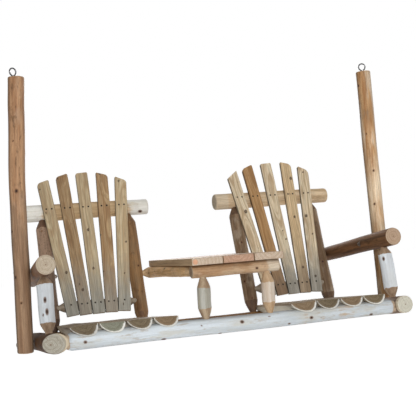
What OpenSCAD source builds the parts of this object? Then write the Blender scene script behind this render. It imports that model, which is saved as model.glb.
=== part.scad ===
// Two-seat log porch swing with a table between the seats.
// Built of peeled logs with round tenons; it hangs from one eye on each pole.
// X runs to the right, Y to the rear, Z up. The origin lies midway on the line through the eyes.

/* [Seat frame] */
// Distance between the axes of the two side rails
rail_span = 1626; // [1560:2:1700]
// Distance from the front rail's axis to the rear rail's
seat_depth = 587; // [540:1:640]
// Fall of the seat towards the rear, in degrees
seat_tilt = 3.4; // [0:0.2:6]
// Diameter of the side rails at the front
side_rail_d0 = 86; // [80:1:96]
// Diameter of the side rails at the rear
side_rail_d1 = 82; // [76:1:92]
// Side rail past the front rail's axis
side_rail_front = 54; // [48:1:80]
// Side rail past the rear rail's axis
side_rail_rear = 54; // [48:1:80]
// Diameter of the front rail at its left end
front_rail_d0 = 76; // [70:1:82]
// Diameter of the front rail at its right end
front_rail_d1 = 68; // [66:1:80]
// Diameter of the rear rail
rear_rail_d = 74; // [68:1:80]
// Rear rail's axis below the side rails' axes
rear_rail_drop = 4; // [0:1:8]
// Diameter of the front and rear rails' tenons
rail_tenon_d = 50; // [44:1:54]
// Length of the front and rear rails' tenons
rail_tenon_len = 40; // [30:1:42]
// Length of the cone that leads to a rail tenon
rail_shoulder = 33; // [24:1:40]

/* [Seats] */
// Distance of each seat's middle from the swing's middle
seat_x = 508; // [490:1:520]
// Width of a half log across its flat
seat_slat_w = 114.6; // [104:0.1:118]
// Thickness of a half log
seat_slat_t = 46; // [42:1:54]
// Height of the flat of a half log above the side rails' axes
seat_top = 63; // [58:1:66]
// Half log past the front rail's axis
seat_slat_front = 38; // [30:1:44]
// Half log past the rear rail's axis
seat_slat_rear = 30; // [20:1:40]
// Gap between two half logs
seat_gap = 1; // [0.6:0.1:4]
// Angle of the left seat's half logs, in degrees
left_seat_turn = 0; // [-3:0.1:3]
// Angle of the right seat's half logs, in degrees
right_seat_turn = -2.8; // [-3:0.1:3]

/* [Backs] */
// Lean of the backs, in degrees
back_lean = 16.5; // [12:0.5:20]
// Distance of a back post from its seat's middle
post_x = 218; // [212:1:222]
// Diameter of the back posts
post_d = 70; // [64:1:72]
// Diameter of a back post's lower tenon
post_tenon_d0 = 36; // [30:1:40]
// Diameter of a back post's upper tenon
post_tenon_d1 = 32; // [28:1:38]
// Length of the cone at the foot of a back post
post_foot = 54; // [40:1:60]
// Length of the cone at the head of a back post
post_head = 40; // [30:1:50]
// Rear rail's axis to the top rail's, along the posts
back_h = 644; // [600:1:680]
// Length of the top rails
top_rail_len = 650; // [600:1:680]
// Diameter of a top rail at its left end
top_rail_d0 = 86; // [84:1:92]
// Diameter of a top rail at its right end
top_rail_d1 = 80; // [79:1:86]
// Height of the lower back rail above the rear rail, along the posts
lower_h = 150; // [140:1:170]
// Diameter of the lower back rails
lower_d = 52; // [46:1:56]
// Diameter of the lower back rails' tenons
lower_tenon_d = 27; // [22:1:30]
// Length of the cone that leads to a lower back rail's tenon
lower_shoulder = 26; // [18:1:34]

/* [Back slats] */
// Width of a back slat
slat_w = 61.5; // [54:0.5:62.5]
// Thickness of a back slat
slat_t = 18; // [14:0.5:22]
// Angle between two slats of the left fan, in degrees
left_fan_step = 3.05; // [2.6:0.05:3.5]
// Angle between two slats of the right fan, in degrees
right_fan_step = 3.3; // [2.6:0.05:3.5]
// Angle of the left fan's middle slat, in degrees
left_fan_turn = -0.2; // [-1.5:0.1:1.5]
// Angle of the right fan's middle slat, in degrees
right_fan_turn = -1.3; // [-1.5:0.1:1.5]
// Middle of the left fan's foot from its seat's middle
left_fan_x = -0.6; // [-6:0.2:6]
// Middle of the right fan's foot from its seat's middle
right_fan_x = 5.8; // [-6:0.2:6]
// Gap between two slats of the left fan at their feet
left_slat_gap = 0.7; // [0.6:0.1:2]
// Gap between two slats of the right fan at their feet
right_slat_gap = 2; // [0.6:0.1:2]
// Height of the slats' feet above the rear rail, along the back
slat_z0 = 97; // [85:1:110]
// Height of the middle slat's tip above the rear rail, along the back
slat_z1 = 831; // [780:1:860]
// Radius of the arc on which the tips are cut
tip_r = 490; // [440:5:700]

/* [Arms] */
// Height of an arm's front end above the side rails' axes
arm_z = 324; // [300:1:350]
// Arm's front end behind the front rail's axis
arm_y = 25; // [10:1:40]
// Fall of the arms towards the rear, in degrees
arm_slope = 5.6; // [2:0.2:8]
// Diameter of an arm at the front
arm_d0 = 84; // [80:1:88]
// Diameter of an arm at the rear
arm_d1 = 76; // [72:1:82]
// Arm past the back post
arm_tail = 55; // [45:1:70]
// Front post's axis behind the front rail's, at the side rail
front_post_y = 78; // [72:1:90]
// Lean of the front posts towards the rear, in degrees
front_post_lean = 10.4; // [6:0.2:14]
// Diameter of the front posts
front_post_d = 68; // [62:1:74]
// Diameter of the front posts' tenons
front_tenon_d = 32; // [28:1:36]
// Length of the cone at a front post's foot
front_foot = 37; // [28:1:44]
// Length of the cone at a front post's head
front_head = 30; // [24:1:40]

/* [Poles and eyes] */
// Distance from the front rail's axis to the poles, at the side rails
pole_y = 297; // [280:1:320]
// Length of the poles
pole_len = 1217; // [1000:1:1300]
// Pole below the side rail's axis
pole_below = 38; // [34:1:60]
// Diameter of the poles at the foot
pole_d0 = 72; // [70:1:78]
// Diameter of the poles at the top
pole_d1 = 67; // [62:1:72]
// Lean of the poles towards the front, in degrees
pole_pitch = 1.7; // [0:0.1:3]
// Diameter of an eye's shank, and of its wire before it was bent
eye_wire = 7; // [6:0.5:8]
// Radius of an eye, to the middle of its wire
eye_r = 16.5; // [14:0.5:20]
// Half of the angle that an eye's straight legs span, in degrees
eye_leg_angle = 34; // [25:1:45]
// Height of the point where the legs meet above the top of the pole
eye_neck = 2.2; // [2:0.1:4]
// Depth of an eye's shank in its pole
eye_shank = 70; // [50:1:90]
// Left eye off the pole's axis, to the left
left_eye_off = 9; // [0:1:12]
// Right eye off the pole's axis, to the left
right_eye_off = 4; // [0:1:12]
// Angle of the left eye, in degrees
left_eye_turn = 30; // [-45:1:45]
// Angle of the right eye, in degrees
right_eye_turn = -12; // [-45:1:45]

/* [Table] */
// Width of a table board
board_w = 140; // [120:1:142]
// Thickness of a table board
board_t = 31.5; // [25:0.5:38]
// Length of the table boards
board_len = 783; // [750:1:800]
// Table boards past the front rail's axis
board_front = 70; // [55:1:80]
// Gap between two table boards
board_gap = 2.6; // [1:0.2:6]
// Distance of a table post from the swing's middle
table_post_x = 149; // [140:1:152]
// Diameter of the table posts
table_post_d = 60; // [54:1:66]
// Diameter of the table posts' tenons
table_tenon_d = 30; // [26:1:32]
// Length of the cones at a table post's ends
table_shoulder = 42; // [34:1:50]
// Height of the cross log's axis above the front rail's
cross_z = 240; // [220:1:260]
// Diameter of the cross log
cross_d = 56; // [52:1:62]
// Length of the cross log
cross_len = 405; // [403:1:440]
// Left end of the cross log from the swing's middle
cross_left = 200; // [199:1:212]
// Distance of a table side log's front end from the swing's middle
side_log_x = 181; // [180:1:182]
// Distance of a table side log's rear end from the swing's middle
side_log_back_x = 218; // [196:1:222]
// Diameter of the table side logs
side_log_d = 50; // [44:1:54]
// Diameter of the table side logs' tenons
side_log_tenon_d = 26; // [22:1:27]
// Length of the table side logs' tenons
side_log_tenon_len = 20; // [16:1:22]
// Length of the cones at a table side log's ends
side_log_shoulder = 35; // [26:1:44]
// Diameter of the table's rear log
rear_log_d = 56; // [50:1:60]
// Diameter of the tenons of the table's rear log
rear_log_tenon_d = 28; // [24:1:30]
// Length of the cones at the ends of the table's rear log
rear_log_shoulder = 30; // [24:1:36]

/* [Fits and fasteners] */
// Radial clearance of a tenon in its hole
tenon_fit = 0.25; // [0.1:0.05:0.4]
// Clearance where one log is cut to lie against another
bear_fit = 0.3; // [0.2:0.05:0.5]
// Radial clearance of an eye's shank in its hole
eye_fit = 0.05; // [0.03:0.01:0.08]
// Length of a tenon in its hole
tenon_len = 30; // [24:1:34]
// Play between the end of a tenon and the bottom of its hole
tenon_play = 1; // [0.5:0.1:2]
// Start of a cone off the log that it meets
shoulder_gap = 2; // [1:0.2:4]
// Depth of the hollow where logs lie against each other
cope = 1.2; // [0.6:0.1:3]
// Chamfer on the cut ends of the logs
end_chamfer = 6; // [3:0.5:9]
// Diameter of the carriage bolts
bolt_d = 10; // [8:1:12]
// Diameter of a carriage bolt's head
bolt_head_d = 24; // [20:1:28]
// Height of a carriage bolt's head
bolt_head_h = 6; // [4:0.5:8]
// Width across the flats of a nut
nut_af = 16; // [15:1:18]
// Thickness of a nut
nut_t = 8; // [6:0.5:9]
// Diameter of a washer
washer_d = 26; // [24:1:30]
// Thickness of a washer
washer_t = 2; // [1.5:0.1:3]
// Depth of the flat cut under a washer
spot_depth = 4; // [3:0.5:8]
// Clearance of bolts, screws and washers in their holes
bolt_fit = 0.3; // [0.2:0.05:0.5]
// Diameter of a screw's head
screw_head_d = 9; // [8:0.5:10]
// Diameter of a screw's shank
screw_d = 4.5; // [4:0.5:5]
// Length of a screw past the piece that it holds
screw_bite = 28; // [20:1:30]
// Distance between the two screws across a back slat
screw_pair = 27; // [20:1:32]

/* [Hidden] */
$fn = 96;
LEFT = -1;
RIGHT = 1;
// Numbers of half logs in a seat, slats in a back and boards in the table: each has a node of its own
seat_slats = 4;
back_slats = 5;
boards = 3;
// How far each slat was set off its even fan, in degrees
slat_set = [[0.1, 0, 0, 0.2, -0.1], [0.1, -0.6, -0.2, 0.6, 0.1]];
far = 400;
eps = 0.01;
// Tips of the screws and bolts
screw_tip = 3;
screw_tip_bevel = 1;
bolt_past_nut = 3;
bolt_bevel = 1;

// Colours of the peeled wood and of the steel
bark_tan = [0.56, 0.42, 0.27];
brown = [0.42, 0.30, 0.21];
peeled = [0.80, 0.79, 0.76];
beige = [0.72, 0.63, 0.48];
cream = [0.78, 0.70, 0.55];
olive = [0.55, 0.47, 0.34];
board_tan = [0.76, 0.56, 0.40];
steel = [0.35, 0.35, 0.34];

// The rails
half_span = rail_span / 2;
side_rail_len = side_rail_front + seat_depth + side_rail_rear;
side_rail_taper = (side_rail_d1 - side_rail_d0) / side_rail_len;
side_rail_inner = half_span - side_rail_d0 / 2 - shoulder_gap;
function side_rail_d(y) = side_rail_d0 + side_rail_taper * (side_rail_front + y);
front_rail_taper = (front_rail_d1 - front_rail_d0) / (2 * side_rail_inner);
function front_rail_d(x) = front_rail_d0 + front_rail_taper * (x + side_rail_inner);

// A point of the seat frame, as Y and Z in the upright frame
function seat_y(y, z) = y * cos(seat_tilt) + z * sin(seat_tilt);
function seat_z(y, z) = z * cos(seat_tilt) - y * sin(seat_tilt);
back_y = seat_y(seat_depth, -rear_rail_drop);
back_z = seat_z(seat_depth, -rear_rail_drop);

// The half logs of the seats
seat_pitch = seat_slat_w + seat_gap;
seat_log_r = (pow(seat_slat_w / 2, 2) + pow(seat_slat_t, 2)) / (2 * seat_slat_t);
seat_slat_len = seat_slat_front + seat_depth + seat_slat_rear;
function seat_slat_x(i) = (i - (seat_slats - 1) / 2) * seat_pitch;

// The backs: slat_plane is the flat on the rails that the slats lie on
top_flat = 1;
lower_flat = 0.5;
slat_plane = top_rail_d1 / 2 - top_flat;
lower_y = slat_plane + lower_flat - lower_d / 2;
slat_screw_len = slat_t + bear_fit + screw_bite;
lower_end = post_x - post_d / 2 - shoulder_gap;
fan_half = (back_slats - 1) / 2;
function slat_angle(c, i) = slat_set[c == LEFT ? 0 : 1][i] + (c == LEFT
    ? left_fan_turn + (i - fan_half) * left_fan_step : right_fan_turn + (i - fan_half) * right_fan_step);
function slat_pitch(c) = (c == LEFT ? left_slat_gap : right_slat_gap)
    + slat_w / cos(max(-slat_angle(c, 0), slat_angle(c, back_slats - 1)));
function slat_x(c, i, z) = (c == LEFT ? left_fan_x : right_fan_x) + (i - fan_half) * slat_pitch(c)
    + (z - slat_z0) * tan(slat_angle(c, i));
post_z0 = rear_rail_d / 2 + shoulder_gap;
post_z1 = back_h - top_rail_d0 / 2 - shoulder_gap;

// How far off the axis of a log a tenon's cone starts, where they cross at an angle
function clear_of(d, tenon, angle) = d / 2 / cos(angle) + tenon / 2 * tan(angle) + shoulder_gap;

// Where an arm's axis meets a leaning post's axis, as a length from the arm's front end
function arm_meets(y, z, lean) =
    (y - arm_y + tan(lean) * (arm_z - z)) / (cos(arm_slope) + tan(lean) * sin(arm_slope));
arm_at_back = arm_meets(back_y, back_z, back_lean);
arm_len = arm_at_back + arm_tail;
function arm_d(t) = arm_d0 + (arm_d1 - arm_d0) * t / arm_len;
arm_back_x = seat_x + post_x + post_d / 2 + arm_d(arm_at_back) / 2 - cope;
arm_toe = asin((half_span - arm_back_x) / (arm_at_back * cos(arm_slope)));
function arm_axis_x(t) = half_span - t * cos(arm_slope) * sin(arm_toe);
function arm_axis_z(t) = arm_z - t * sin(arm_slope);

// The front posts
front_post_y0 = seat_y(front_post_y, 0);
front_post_z0 = seat_z(front_post_y, 0);
arm_at_front = arm_meets(front_post_y0, front_post_z0, front_post_lean);
front_post_axis = (arm_axis_z(arm_at_front) - front_post_z0) / cos(front_post_lean);
front_foot_z = clear_of(side_rail_d(front_post_y), front_tenon_d, front_post_lean - seat_tilt);
front_head_z = front_post_axis - clear_of(arm_d(arm_at_front), front_tenon_d, front_post_lean - arm_slope);

// The poles lie against the side rails and the arms
pole_z = seat_z(pole_y / cos(seat_tilt), 0);
pole_axis = pole_len - pole_below;
function pole_d(h) = pole_d0 + (pole_d1 - pole_d0) * (pole_below + h) / pole_len;
pole_arm_y = (pole_y - tan(pole_pitch) * (arm_z + tan(arm_slope) * arm_y - pole_z))
    / (1 - tan(pole_pitch) * tan(arm_slope));
arm_at_pole = (pole_arm_y - arm_y) / cos(arm_slope);
arm_bolt_h = arm_axis_z(arm_at_pole) - pole_z;
pole_x = half_span + side_rail_d(pole_y) / 2 + pole_d(0) / 2 - cope;
pole_arm_x = arm_axis_x(arm_at_pole) + arm_d(arm_at_pole) / 2 + pole_d(arm_bolt_h) / 2 - cope;
pole_lean = atan((pole_x - pole_arm_x) / arm_bolt_h);

// The eyes: the origin lies on the line through them
eye_leg = eye_r / cos(eye_leg_angle);
eye_h = eye_leg + eye_neck;
eye_sides = 16;
eye_steps = 28;
// The bent wire is drawn this much thinner than the shank that it rises from
eye_ledge = 0.2;
eye_root = 2;
eye_free_end = 0.95 * eye_wire;
// The middle of the wire and its direction, in the plane of the ring
eye_arc = [for (k = [0:eye_steps]) 270 - eye_leg_angle - k * (360 - 2 * eye_leg_angle) / eye_steps];
eye_path = concat([[0, -eye_h - eye_root], [0, -eye_leg]],
    [for (a = eye_arc) eye_r * [cos(a), sin(a)]],
    [[cos(eye_leg_angle) * eye_free_end, sin(eye_leg_angle) * eye_free_end - eye_leg]]);
eye_bend = eye_arc[0] / 2 - 90;
eye_heading = concat([90, 90 + eye_bend], [for (a = eye_arc) a - 90], [eye_arc[eye_steps] - 90]);
function wire_point(k, j) =
    let (a = eye_heading[k], b = -360 * j / eye_sides, r = eye_wire / 2 - eye_ledge,
        across = r * cos(b) / (k == 1 ? cos(eye_bend) : 1))
    [eye_path[k][0] - across * sin(a), r * sin(b), eye_path[k][1] + across * cos(a)];
eye_axis = pole_axis + eye_h;
eye_x = pole_x - eye_axis * cos(pole_pitch) * sin(pole_lean);
eye_y = pole_y - eye_axis * sin(pole_pitch);
eye_z = pole_z + eye_axis * cos(pole_pitch) * cos(pole_lean);

// The table
board_pitch = board_w + board_gap;
board_z = cross_z + cross_d / 2 + bear_fit;
side_log_z = board_z - bear_fit - side_log_d / 2;
rear_log_z = board_z - bear_fit - rear_log_d / 2;
rear_log_y = back_y + (rear_log_z - back_z) * tan(back_lean);
rear_log_x = seat_x - post_x - post_d / 2 - shoulder_gap;
side_log_turn = atan((side_log_back_x - side_log_x) / rear_log_y);
side_log_end = rear_log_y / cos(side_log_turn) - clear_of(rear_log_d, side_log_tenon_d, side_log_turn);
function table_foot_z(s) = front_rail_d(s * table_post_x) / 2 + shoulder_gap;
table_head_z = cross_z - cross_d / 2 - shoulder_gap;
side_log_start = clear_of(cross_d, side_log_tenon_d, side_log_turn);

// Every piece is drawn about the middle of the front rail, then moved to the swing's own origin
module place() translate([0, -eye_y, -eye_z]) children();
module on_seat() rotate([-seat_tilt, 0, 0]) children();
module on_back(c) translate([c * seat_x, back_y, back_z]) rotate([-back_lean, 0, 0]) children();
module on_side_rail(s) on_seat() translate([s * half_span, 0, 0]) rotate([-90, 0, 0]) children();
module on_front_post(s)
    translate([s * half_span, front_post_y0, front_post_z0]) rotate([-front_post_lean, 0, 0]) children();
module on_arm(s)
    translate([s * half_span, arm_y, arm_z]) rotate([-90 - arm_slope, 0, s * arm_toe]) children();
module on_pole(s)
    translate([s * pole_x, pole_y, pole_z]) rotate([pole_pitch, -s * pole_lean, 0]) children();
module on_eye(s)
    on_pole(s) translate([s == LEFT ? -left_eye_off : -right_eye_off, 0, pole_axis]) children();
module on_side_log(s)
    translate([s * side_log_x, 0, side_log_z]) rotate([-90, 0, -s * side_log_turn]) children();
module on_table_post(s) translate([s * table_post_x, 0, 0]) children();
// A carriage bolt's axis, pointing inwards from the outside of what it clamps
module on_pole_bolt(s) translate([s * pole_x, pole_y, pole_z]) rotate([0, -s * 90, 0]) children();
module on_arm_bolt(s)
    translate([s * pole_arm_x, pole_arm_y, pole_z + arm_bolt_h]) rotate([0, -s * 90, 0]) children();
module on_post_bolt(s)
    translate([s * arm_back_x, arm_y + arm_at_back * cos(arm_slope), arm_axis_z(arm_at_back)])
        rotate([0, -s * 90, 0]) children();

// A log along Z with chamfered cut ends
module log(len, d0, d1)
    rotate_extrude() polygon([
        [0, 0], [d0 / 2 - end_chamfer, 0], [d0 / 2, end_chamfer],
        [d1 / 2, len - end_chamfer], [d1 / 2 - end_chamfer, len], [0, len]]);
// A log along Z from z0 to z1 that narrows over cones to a round tenon at each end
module spindle(z0, z1, d0, d1, cone0, cone1, tenon0, tenon1, len = tenon_len)
    rotate_extrude() polygon([
        [0, z0 - len], [tenon0 / 2, z0 - len], [tenon0 / 2, z0], [d0 / 2, z0 + cone0],
        [d1 / 2, z1 - cone1], [tenon1 / 2, z1], [tenon1 / 2, z1 + len], [0, z1 + len]]);
// The holes for tenons that start at z: one that points down -Z and one that points up +Z
module hole_down(z, d, len = tenon_len) translate([0, 0, z - len - tenon_play])
    cylinder(d = d + 2 * tenon_fit, h = len + tenon_play + far / 4);
module hole_up(z, d, len = tenon_len) translate([0, 0, z - far / 4])
    cylinder(d = d + 2 * tenon_fit, h = len + tenon_play + far / 4);

// Screws lie along -Z with the head's top at z = 0
module screw(len)
    rotate_extrude() polygon([
        [0, -len], [screw_d / 2 - screw_tip_bevel, -len], [screw_d / 2, screw_tip - len],
        [screw_d / 2, screw_d / 2 - screw_head_d / 2],
        [screw_head_d / 2, 0], [0, 0]]);
module screw_hole(len)
    rotate_extrude() polygon([
        [0, -len - tenon_play], [screw_d / 2 + bolt_fit, -len - tenon_play],
        [screw_d / 2 + bolt_fit, screw_d / 2 - screw_head_d / 2],
        [screw_head_d / 2 + bolt_fit, bolt_fit], [screw_head_d / 2 + bolt_fit, far / 8], [0, far / 8]]);

// Bolts lie along +Z: the head is before the start, and the washer lies at the end
bolt_end = washer_t + nut_t + bolt_past_nut;
module carriage_bolt(start, end)
    rotate_extrude() polygon(concat(
        [[0, end + bolt_end], [bolt_d / 2 - bolt_bevel, end + bolt_end],
         [bolt_d / 2, end + bolt_end - bolt_bevel], [bolt_d / 2, start], [bolt_head_d / 2, start]],
        [for (a = [15:15:90]) [bolt_head_d / 2 * cos(a), start - bolt_head_h * sin(a)]]));
module bolt_hole() translate([0, 0, -far / 2]) cylinder(d = bolt_d + 2 * bolt_fit, h = far);
module spot_face(end) translate([0, 0, end]) cylinder(d = washer_d + 4 * bolt_fit, h = far / 8);
module washer(end) translate([0, 0, end]) difference() {
    cylinder(d = washer_d, h = washer_t);
    translate([0, 0, -eps]) cylinder(d = bolt_d + 2 * bolt_fit, h = washer_t + 2 * eps);
}
module nut(end) translate([0, 0, end + washer_t]) difference() {
    cylinder(d = nut_af / cos(30), h = nut_t, $fn = 6);
    translate([0, 0, -eps]) cylinder(d = bolt_d + bolt_fit, h = nut_t + 2 * eps);
}
// Where each bolt's head and washer bear, from the bolt's own start
pole_bolt_start = -pole_d(0) / 2 - bear_fit * 2;
pole_bolt_end = pole_x - half_span + side_rail_d(pole_y) / 2 - spot_depth;
arm_bolt_start = -pole_d(arm_bolt_h) / 2 - bear_fit * 2;
arm_bolt_end = pole_arm_x - arm_axis_x(arm_at_pole) + arm_d(arm_at_pole) / 2 - spot_depth;
post_bolt_start = -arm_d(arm_at_back) / 2 - bear_fit * 2;
post_bolt_end = arm_back_x - seat_x - post_x + post_d / 2 - spot_depth;

module hanger_pole(s) place() difference() {
    on_pole(s) translate([0, 0, -pole_below]) log(pole_len, pole_d0, pole_d1);
    on_eye(s) translate([0, 0, -eye_shank - tenon_play])
        cylinder(d = eye_wire + 2 * eye_fit, h = eye_shank + far / 8);
    on_pole_bolt(s) bolt_hole();
    on_arm_bolt(s) bolt_hole();
}
// The space that a pole takes, as the logs beside it are cut for it
module pole_room(s) on_pole(s) translate([0, 0, -pole_below - far / 4])
    cylinder(d1 = pole_d(-pole_below - far / 4) + 2 * bear_fit, d2 = pole_d(pole_axis) + 2 * bear_fit, h = pole_len + far / 4);

// An eye is one bent wire: up a leg, round the ring and down again, with its end left free
module eye_bolt(s, turn) place() on_eye(s) rotate([0, 0, turn]) translate([0, 0, eye_h]) {
    polyhedron(points = [for (k = [0:len(eye_path) - 1], j = [0:eye_sides - 1]) wire_point(k, j)],
        faces = concat(
            [[for (j = [0:eye_sides - 1]) j]],
            [[for (j = [1:eye_sides]) len(eye_path) * eye_sides - j]],
            [for (k = [1:len(eye_path) - 1], j = [0:eye_sides - 1])
                [(k - 1) * eye_sides + j, k * eye_sides + j, k * eye_sides + (j + 1) % eye_sides]],
            [for (k = [1:len(eye_path) - 1], j = [0:eye_sides - 1])
                [(k - 1) * eye_sides + j, k * eye_sides + (j + 1) % eye_sides,
                 (k - 1) * eye_sides + (j + 1) % eye_sides]]));
    translate([0, 0, -eye_h - eye_shank]) cylinder(d = eye_wire, h = eye_shank);
}

module side_rail(s) place() difference() {
    on_side_rail(s) translate([0, 0, -side_rail_front]) log(side_rail_len, side_rail_d0, side_rail_d1);
    on_seat() rotate([0, s * 90, 0]) hole_up(side_rail_inner, rail_tenon_d, rail_tenon_len);
    on_seat() translate([0, seat_depth, -rear_rail_drop]) rotate([0, s * 90, 0])
        hole_up(side_rail_inner, rail_tenon_d, rail_tenon_len);
    on_front_post(s) hole_down(front_foot_z, front_tenon_d);
    pole_room(s);
    on_pole_bolt(s) {
        bolt_hole();
        spot_face(pole_bolt_end);
    }
}

// A rail from side rail to side rail, with its tenons in them
module cross_rail(d0, d1) rotate([0, 90, 0])
    spindle(-side_rail_inner, side_rail_inner, d0, d1, rail_shoulder, rail_shoulder,
        rail_tenon_d, rail_tenon_d, rail_tenon_len);
module front_rail() place() difference() {
    on_seat() cross_rail(front_rail_d0, front_rail_d1);
    for (c = [LEFT, RIGHT]) {
        for (i = [0:seat_slats - 1]) {
            seat_log(c, i, bear_fit);
            on_seat_screw(c, i, 0) screw_hole(seat_slat_t + screw_bite);
        }
        on_table_post(c) hole_down(table_foot_z(c), table_tenon_d);
    }
}
module rear_rail() place() difference() {
    on_seat() translate([0, seat_depth, -rear_rail_drop]) cross_rail(rear_rail_d, rear_rail_d);
    for (c = [LEFT, RIGHT]) {
        for (i = [0:seat_slats - 1]) {
            seat_log(c, i, bear_fit);
            on_seat_screw(c, i, seat_depth) screw_hole(seat_slat_t + screw_bite);
        }
        for (side = [-1, 1])
            on_back(c) translate([side * post_x, 0, 0]) hole_down(post_z0, post_tenon_d0);
    }
}

// A seat's half log lies with its round side down in hollows in both rails
module on_seat_slat(c, i, y, z) on_seat() translate([c * seat_x + seat_slat_x(i), seat_depth, z])
    rotate([0, 0, c == LEFT ? left_seat_turn : right_seat_turn]) translate([0, y - seat_depth, 0]) children();
module seat_log(c, i, room = 0)
    on_seat_slat(c, i, -seat_slat_front, seat_top - seat_slat_t + seat_log_r)
        rotate([-90, 0, 0]) cylinder(r = seat_log_r + room, h = seat_slat_len);
module on_seat_screw(c, i, y) on_seat_slat(c, i, y, seat_top) children();
module seat_slat(c, i) place() difference() {
    seat_log(c, i);
    on_seat() translate([c * seat_x - far, -far / 4, seat_top]) cube([2 * far, 2 * far, far]);
    if (i == 0 || i == seat_slats - 1)
        on_back(c) translate([(i == 0 ? -1 : 1) * post_x, 0, 0]) cylinder(d = post_d + 2 * bear_fit, h = far / 2);
    for (y = [0, seat_depth])
        on_seat_screw(c, i, y) screw_hole(seat_slat_t + screw_bite);
}
module seat_screws() place() for (c = [LEFT, RIGHT], i = [0:seat_slats - 1], y = [0, seat_depth])
    on_seat_screw(c, i, y) screw(seat_slat_t + screw_bite);

module front_post(s) place() on_front_post(s)
    spindle(front_foot_z, front_head_z, front_post_d, front_post_d, front_foot, front_head,
        front_tenon_d, front_tenon_d);
module arm(s) place() difference() {
    on_arm(s) log(arm_len, arm_d0, arm_d1);
    on_front_post(s) hole_up(front_head_z, front_tenon_d);
    pole_room(s);
    on_back(s) translate([s * post_x, 0, 0]) cylinder(d = post_d + 2 * bear_fit, h = back_h);
    on_arm_bolt(s) {
        bolt_hole();
        spot_face(arm_bolt_end);
    }
    on_post_bolt(s) bolt_hole();
}

// A back post: side is -1 on its seat's left and 1 on its right
module back_post(c, side) place() difference() {
    on_back(c) translate([side * post_x, 0, 0])
        spindle(post_z0, post_z1, post_d, post_d, post_foot, post_head, post_tenon_d0, post_tenon_d1);
    on_back(c) translate([0, -lower_y, lower_h]) rotate([0, side * 90, 0]) hole_up(lower_end, lower_tenon_d);
    if (side == c) on_post_bolt(c) {
        bolt_hole();
        spot_face(post_bolt_end);
    }
    if (side != c) on_rear_log() rotate([0, c * 90, 0]) hole_up(rear_log_x, rear_log_tenon_d);
}
module top_rail(c) place() difference() {
    on_back(c) translate([-top_rail_len / 2, 0, back_h]) rotate([0, 90, 0])
        log(top_rail_len, top_rail_d0, top_rail_d1);
    on_back(c) translate([-far, -slat_plane - far, back_h - far / 2]) cube([2 * far, far, far]);
    for (side = [-1, 1]) on_back(c) translate([side * post_x, 0, 0]) hole_up(post_z1, post_tenon_d1);
    for (i = [0:back_slats - 1]) on_slat_screw(c, i, back_h) screw_hole(slat_screw_len);
}
module lower_rail(c) place() difference() {
    on_back(c) translate([0, -lower_y, lower_h]) rotate([0, 90, 0])
        spindle(-lower_end, lower_end, lower_d, lower_d, lower_shoulder, lower_shoulder,
            lower_tenon_d, lower_tenon_d);
    on_back(c) translate([-far, -slat_plane - far, lower_h - far / 2]) cube([2 * far, far, far]);
    for (i = [0:back_slats - 1]) on_slat_screw(c, i, lower_h) screw_hole(slat_screw_len);
}

// The screws through slat i at height z: an outer slat has one at its foot, the others two
module on_slat_screw(c, i, z) {
    single = z == lower_h && (i == 0 || i == back_slats - 1);
    on_back(c) for (dx = single ? [0] : [-screw_pair / 2, screw_pair / 2])
        translate([slat_x(c, i, z) + dx, -slat_plane - bear_fit - slat_t, z]) rotate([90, 0, 0]) children();
}
module back_slat(c, i) place() difference() {
    on_back(c) translate([0, -slat_plane - bear_fit, 0]) rotate([90, 0, 0]) linear_extrude(slat_t)
        intersection() {
            translate([slat_x(c, i, slat_z0), slat_z0]) rotate(-slat_angle(c, i))
                translate([-slat_w / 2, 0]) square([slat_w, slat_z1 - slat_z0 + far / 8]);
            translate([0, slat_z1 - tip_r]) circle(r = tip_r);
        }
    for (z = [lower_h, back_h]) on_slat_screw(c, i, z) screw_hole(slat_screw_len);
}
module back_screws(c) place() for (i = [0:back_slats - 1], z = [lower_h, back_h])
    on_slat_screw(c, i, z) screw(slat_screw_len);

module table_post(s) place() on_table_post(s)
    spindle(table_foot_z(s), table_head_z, table_post_d, table_post_d, table_shoulder, table_shoulder,
        table_tenon_d, table_tenon_d);
module table_cross_log() place() difference() {
    translate([-cross_left, 0, cross_z]) rotate([0, 90, 0]) log(cross_len, cross_d, cross_d);
    for (s = [LEFT, RIGHT]) {
        on_table_post(s) hole_up(table_head_z, table_tenon_d);
        on_side_log(s) hole_down(side_log_start, side_log_tenon_d, side_log_tenon_len);
    }
    for (i = [0:boards - 1]) on_board_screw(i, 0) screw_hole(board_t + screw_bite);
}
module table_side_log(s) place() on_side_log(s)
    spindle(side_log_start, side_log_end, side_log_d, side_log_d,
        side_log_shoulder, side_log_shoulder, side_log_tenon_d, side_log_tenon_d, side_log_tenon_len);
module on_rear_log() translate([0, rear_log_y, rear_log_z]) children();
module table_rear_log() place() difference() {
    on_rear_log() rotate([0, 90, 0]) spindle(-rear_log_x, rear_log_x, rear_log_d, rear_log_d,
        rear_log_shoulder, rear_log_shoulder, rear_log_tenon_d, rear_log_tenon_d);
    for (s = [LEFT, RIGHT]) on_side_log(s) hole_up(side_log_end, side_log_tenon_d, side_log_tenon_len);
    for (i = [0:boards - 1]) on_board_screw(i, rear_log_y) screw_hole(board_t + screw_bite);
}
function board_x(i) = (i - (boards - 1) / 2) * board_pitch;
module on_board_screw(i, y) for (side = [-1, 1])
    translate([board_x(i) + side * board_w / 4, y, board_z + board_t]) children();
module table_board(i) place() difference() {
    translate([board_x(i) - board_w / 2, -board_front, board_z]) cube([board_w, board_len, board_t]);
    for (y = [0, rear_log_y]) on_board_screw(i, y) screw_hole(board_t + screw_bite);
}
module table_screws() place() for (i = [0:boards - 1], y = [0, rear_log_y])
    on_board_screw(i, y) screw(board_t + screw_bite);

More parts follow.
